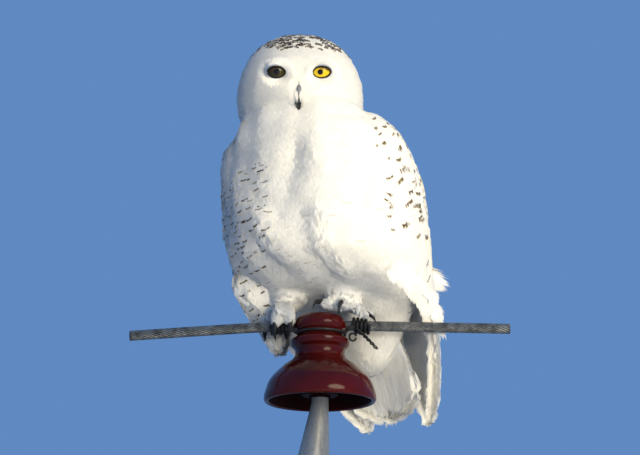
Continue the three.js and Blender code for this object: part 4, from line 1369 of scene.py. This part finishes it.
def tieWire():
    points = []
    for side in (-1, 1):
        turns = np.linspace(0, tieShape["turns"], 65)
        h = side * (tieShape["start"] + tieShape["pitch"] * turns)
        across, high = np.cos(2 * math.pi * turns), np.sin(2 * math.pi * turns)
        wrap = np.stack([h, -tieShape["wrap"] * across, lineHeight(h) + tieShape["wrap"] * high], 1)
        a = np.radians(np.arange(22, 90, 8.5))
        neck = [side * tieShape["neck"] * np.cos(a), -tieShape["neck"] * np.sin(a),
                np.full(len(a), tieShape["neckHeight"])]
        lead = np.concatenate([[(side * 38.5, -13, -19)], np.stack(neck, 1)])
        points += [wrap[::-1], lead] if side < 0 else [lead[::-1], wrap]
    line = throughPoints(np.concatenate(points), tieShape["stations"])
    parts = [tube(atPerch(line), tieShape["radius"] * mm, tieShape["sides"])]
    # the ends: a small loop by the right-hand wraps, and a twisted tail that hangs from them
    t = np.linspace(0, 1, 40)
    for k in range(2):
        twist = 2 * math.pi * (3.2 * t + k / 2)
        tail = [45 + 26 * t + 1.8 * np.cos(twist), -9 - 3 * t + 1.8 * np.sin(twist), -19 - 22 * t - 5 * t**2]
        parts.append(tube(atPerch(np.stack(tail, 1)), tieShape["endRadius"] * mm * (1 - 0.3 * t),
                          tieShape["endSides"]))
    a = np.linspace(0.2, 2 * math.pi - 0.2, 36)
    loop = np.stack([41 + 4.2 * np.cos(a), np.full(36, -14.0) + 2.0 * a / 6, -31 + 4.6 * np.sin(a)], 1)
    parts.append(tube(atPerch(loop), tieShape["endRadius"] * mm, tieShape["endSides"]))
    points, faces = joined(parts)
    belongs(buildMesh("tie_wire", points, faces, metalMaterial("tie_metal")), "tie_metal", "perch_tie_wire")


pinShape = {  # radius and height above the floor; below the taper the pin stands to one side and is squarish
    "rows": [(0, 20.3), (26.4, 20.4), (27, 21), (27, 25), (26, 26.3), (22, 28.5), (19.6, 31.5), (19, 36), (19, 120),
             (19, 200), (19, 248), (18.6, 254), (14.6, 287), (10.5, 320), (10.5, 326), (12.6, 334), (12.6, 394.7),
             (10.7, 396.6), (0, 396.7)],
    "sides": 96, "taperTop": 320, "taper": 72, "shift": 10.5 - 19,
    "light": (0.4, 0.4, 0.385, 1), "dark": (0.19, 0.19, 0.185, 1), "rust": (0.16, 0.12, 0.09, 1)}


def pinRod():
    m, shader = newMaterial("pin_metal", Metallic=0.55, Roughness=0.55)
    run = between(m, noise(m, 38.0, 6.0, (1.0, 1.0, 0.16), 0.7), 0.38, 0.66)
    spot = between(m, noise(m, 210.0, 3.0), 0.55, 0.75)
    grey = blend(m, run, pinShape["light"], pinShape["dark"])
    colour(m, shader, blend(m, sums(m, "MULTIPLY", spot, 0.5), grey, pinShape["rust"]))
    plug(m, between(m, run, 0, 1, 0.42, 0.66), shader, "Roughness")
    bump(m, shader, noise(m, 300.0, 4.0), 0.0003, 0.7)
    sides, rows = pinShape["sides"], pinShape["rows"]
    angle = around(sides)
    rings = []
    for r, height in rows:
        r = max(r, 0.3)
        share = np.clip((pinShape["taperTop"] - height) / pinShape["taper"], 0, 1)
        square = 1 + 0.045 * np.cos(4 * angle) * share * (height < 300) * (height > 40)
        rings.append(np.stack([r * square * np.cos(angle) + pinShape["shift"] * share, r * square * np.sin(angle),
                               np.full(sides, height - 431)], 1))
    points = atPerch(np.concatenate(rings))
    faces = closedRings(len(rows), sides)
    belongs(buildMesh("pin", points, faces, m), "pin_metal", "stand_rod")


baseShape = {"radius": 140, "height": 20, "bevel": 2.5, "sides": 160,
             "light": (0.115, 0.06, 0.03, 1), "dark": (0.035, 0.018, 0.01, 1), "pores": (0.02, 0.01, 0.006, 1)}


def baseDisc():
    m, shader = newMaterial("base_wood", Roughness=0.42, Specular_IOR_Level=0.4, Coat_Weight=0.15,
                            Coat_Roughness=0.25)
    place = add(m, "TexCoord").outputs["Object"]
    bent = add(m, "Mapping", {0: place, "Scale": (3.0, 26.0, 3.0), "Rotation": (0.0, 0.0, 0.5)}).outputs[0]
    grain = add(m, "TexNoise", {"Vector": bent, "Scale": 4.0, "Detail": 6.0, "Roughness": 0.6, "Distortion": 0.8})
    fine = noise(m, 90.0, 4.0, (0.4, 8.0, 1.0))
    wood = blend(m, between(m, grain.outputs[0], 0.35, 0.68), baseShape["light"], baseShape["dark"])
    colour(m, shader, blend(m, sums(m, "MULTIPLY", fine, 0.25), wood, baseShape["pores"]))
    bump(m, shader, fine, 0.0002, 0.35)
    bevel, sides = baseShape["bevel"], baseShape["sides"]
    edge, top = baseShape["radius"] - bevel, baseShape["height"] - bevel
    quarter = np.linspace(0, math.pi / 2, 6)
    rows = [(0.5, 0), (60, 0), (edge, 0)]
    rows += [(edge + bevel * math.sin(t), bevel - bevel * math.cos(t)) for t in quarter[1:]]
    rows += [(edge + bevel * math.cos(t), top + bevel * math.sin(t)) for t in quarter]
    rows += [(60, baseShape["height"]), (0.5, baseShape["height"])]
    angle = around(sides)
    points = np.concatenate([np.stack([r * np.cos(angle), r * np.sin(angle), np.full(sides, z)], 1) for r, z in rows])
    faces = closedRings(len(rows), sides)
    belongs(buildMesh("base", points * mm, faces, m), "base_wood", "stand_base")


insulator()
conductor()
tieWire()
pinRod()
baseDisc()
print("scene: perch and stand")


view = {"azimuth": 38, "elevation": -18.5, "distance": 1.6, "target": (0, 0, 0.549), "lens": 69.2}
sky = {"Color": (0.17, 0.37, 0.78, 1), "Strength": 0.68}


def bearing(azimuth, elevation):
    a, e = math.radians(azimuth), math.radians(elevation)
    return Vector((math.sin(a) * math.cos(e), -math.cos(a) * math.cos(e), math.sin(e)))


def placed(name, data, place, turned):
    thing = bpy.data.objects.new(name, data)
    thing.location = place
    thing.rotation_mode = "QUATERNION"
    thing.rotation_quaternion = turned
    bpy.context.collection.objects.link(thing)
    return thing


away = bearing(view["azimuth"], view["elevation"])
lens = bpy.data.cameras.new("camera")
lens.lens, lens.sensor_width, lens.clip_start = view["lens"], 36, 0.02
bpy.context.scene.camera = placed("camera", lens, Vector(view["target"]) + away * view["distance"],
                                  (-away).to_track_quat("-Z", "Y"))

world = bpy.data.worlds.new("studio")
bpy.context.scene.world = world
world.use_nodes = True
for key, amount in sky.items():
    world.node_tree.nodes["Background"].inputs[key].default_value = amount


# azimuth, elevation, distance, width, power and colour
lights = {
    "key": (72, 13, 3.0, 1.8, 49, (1.0, 0.88, 0.6)),
    "front": (56, -6, 3.0, 0.5, 23, (1.0, 0.93, 0.78)),
    "low": (72, -17, 1.3, 0.36, 4.0, (1.0, 0.92, 0.8)),
}
for name, (azimuth, elevation, distance, width, power, tint) in lights.items():
    away = bearing(azimuth, elevation)
    lamp = bpy.data.lights.new(name, "AREA")
    lamp.shape, lamp.size, lamp.energy, lamp.color = "DISK", width, power, tint
    light = placed(name, lamp, Vector((0, 0, 0.6)) + away * distance, away.to_track_quat("Z", "Y"))
    light.visible_glossy = name == "key"  # the small ones would show in the eyes and the glaze
    light.visible_camera = False

floorMaterial = newMaterial("floor", Base_Color=(0.7, 0.69, 0.66, 1), Roughness=0.9)[0]
floor = buildMesh("floor", [(-6, -6, 0), (6, -6, 0), (6, 6, 0), (-6, 6, 0)], [[[0, 1, 2, 3]]], floorMaterial)
floor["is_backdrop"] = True
bpy.context.scene.view_settings.view_transform = "Standard"

low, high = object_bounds()
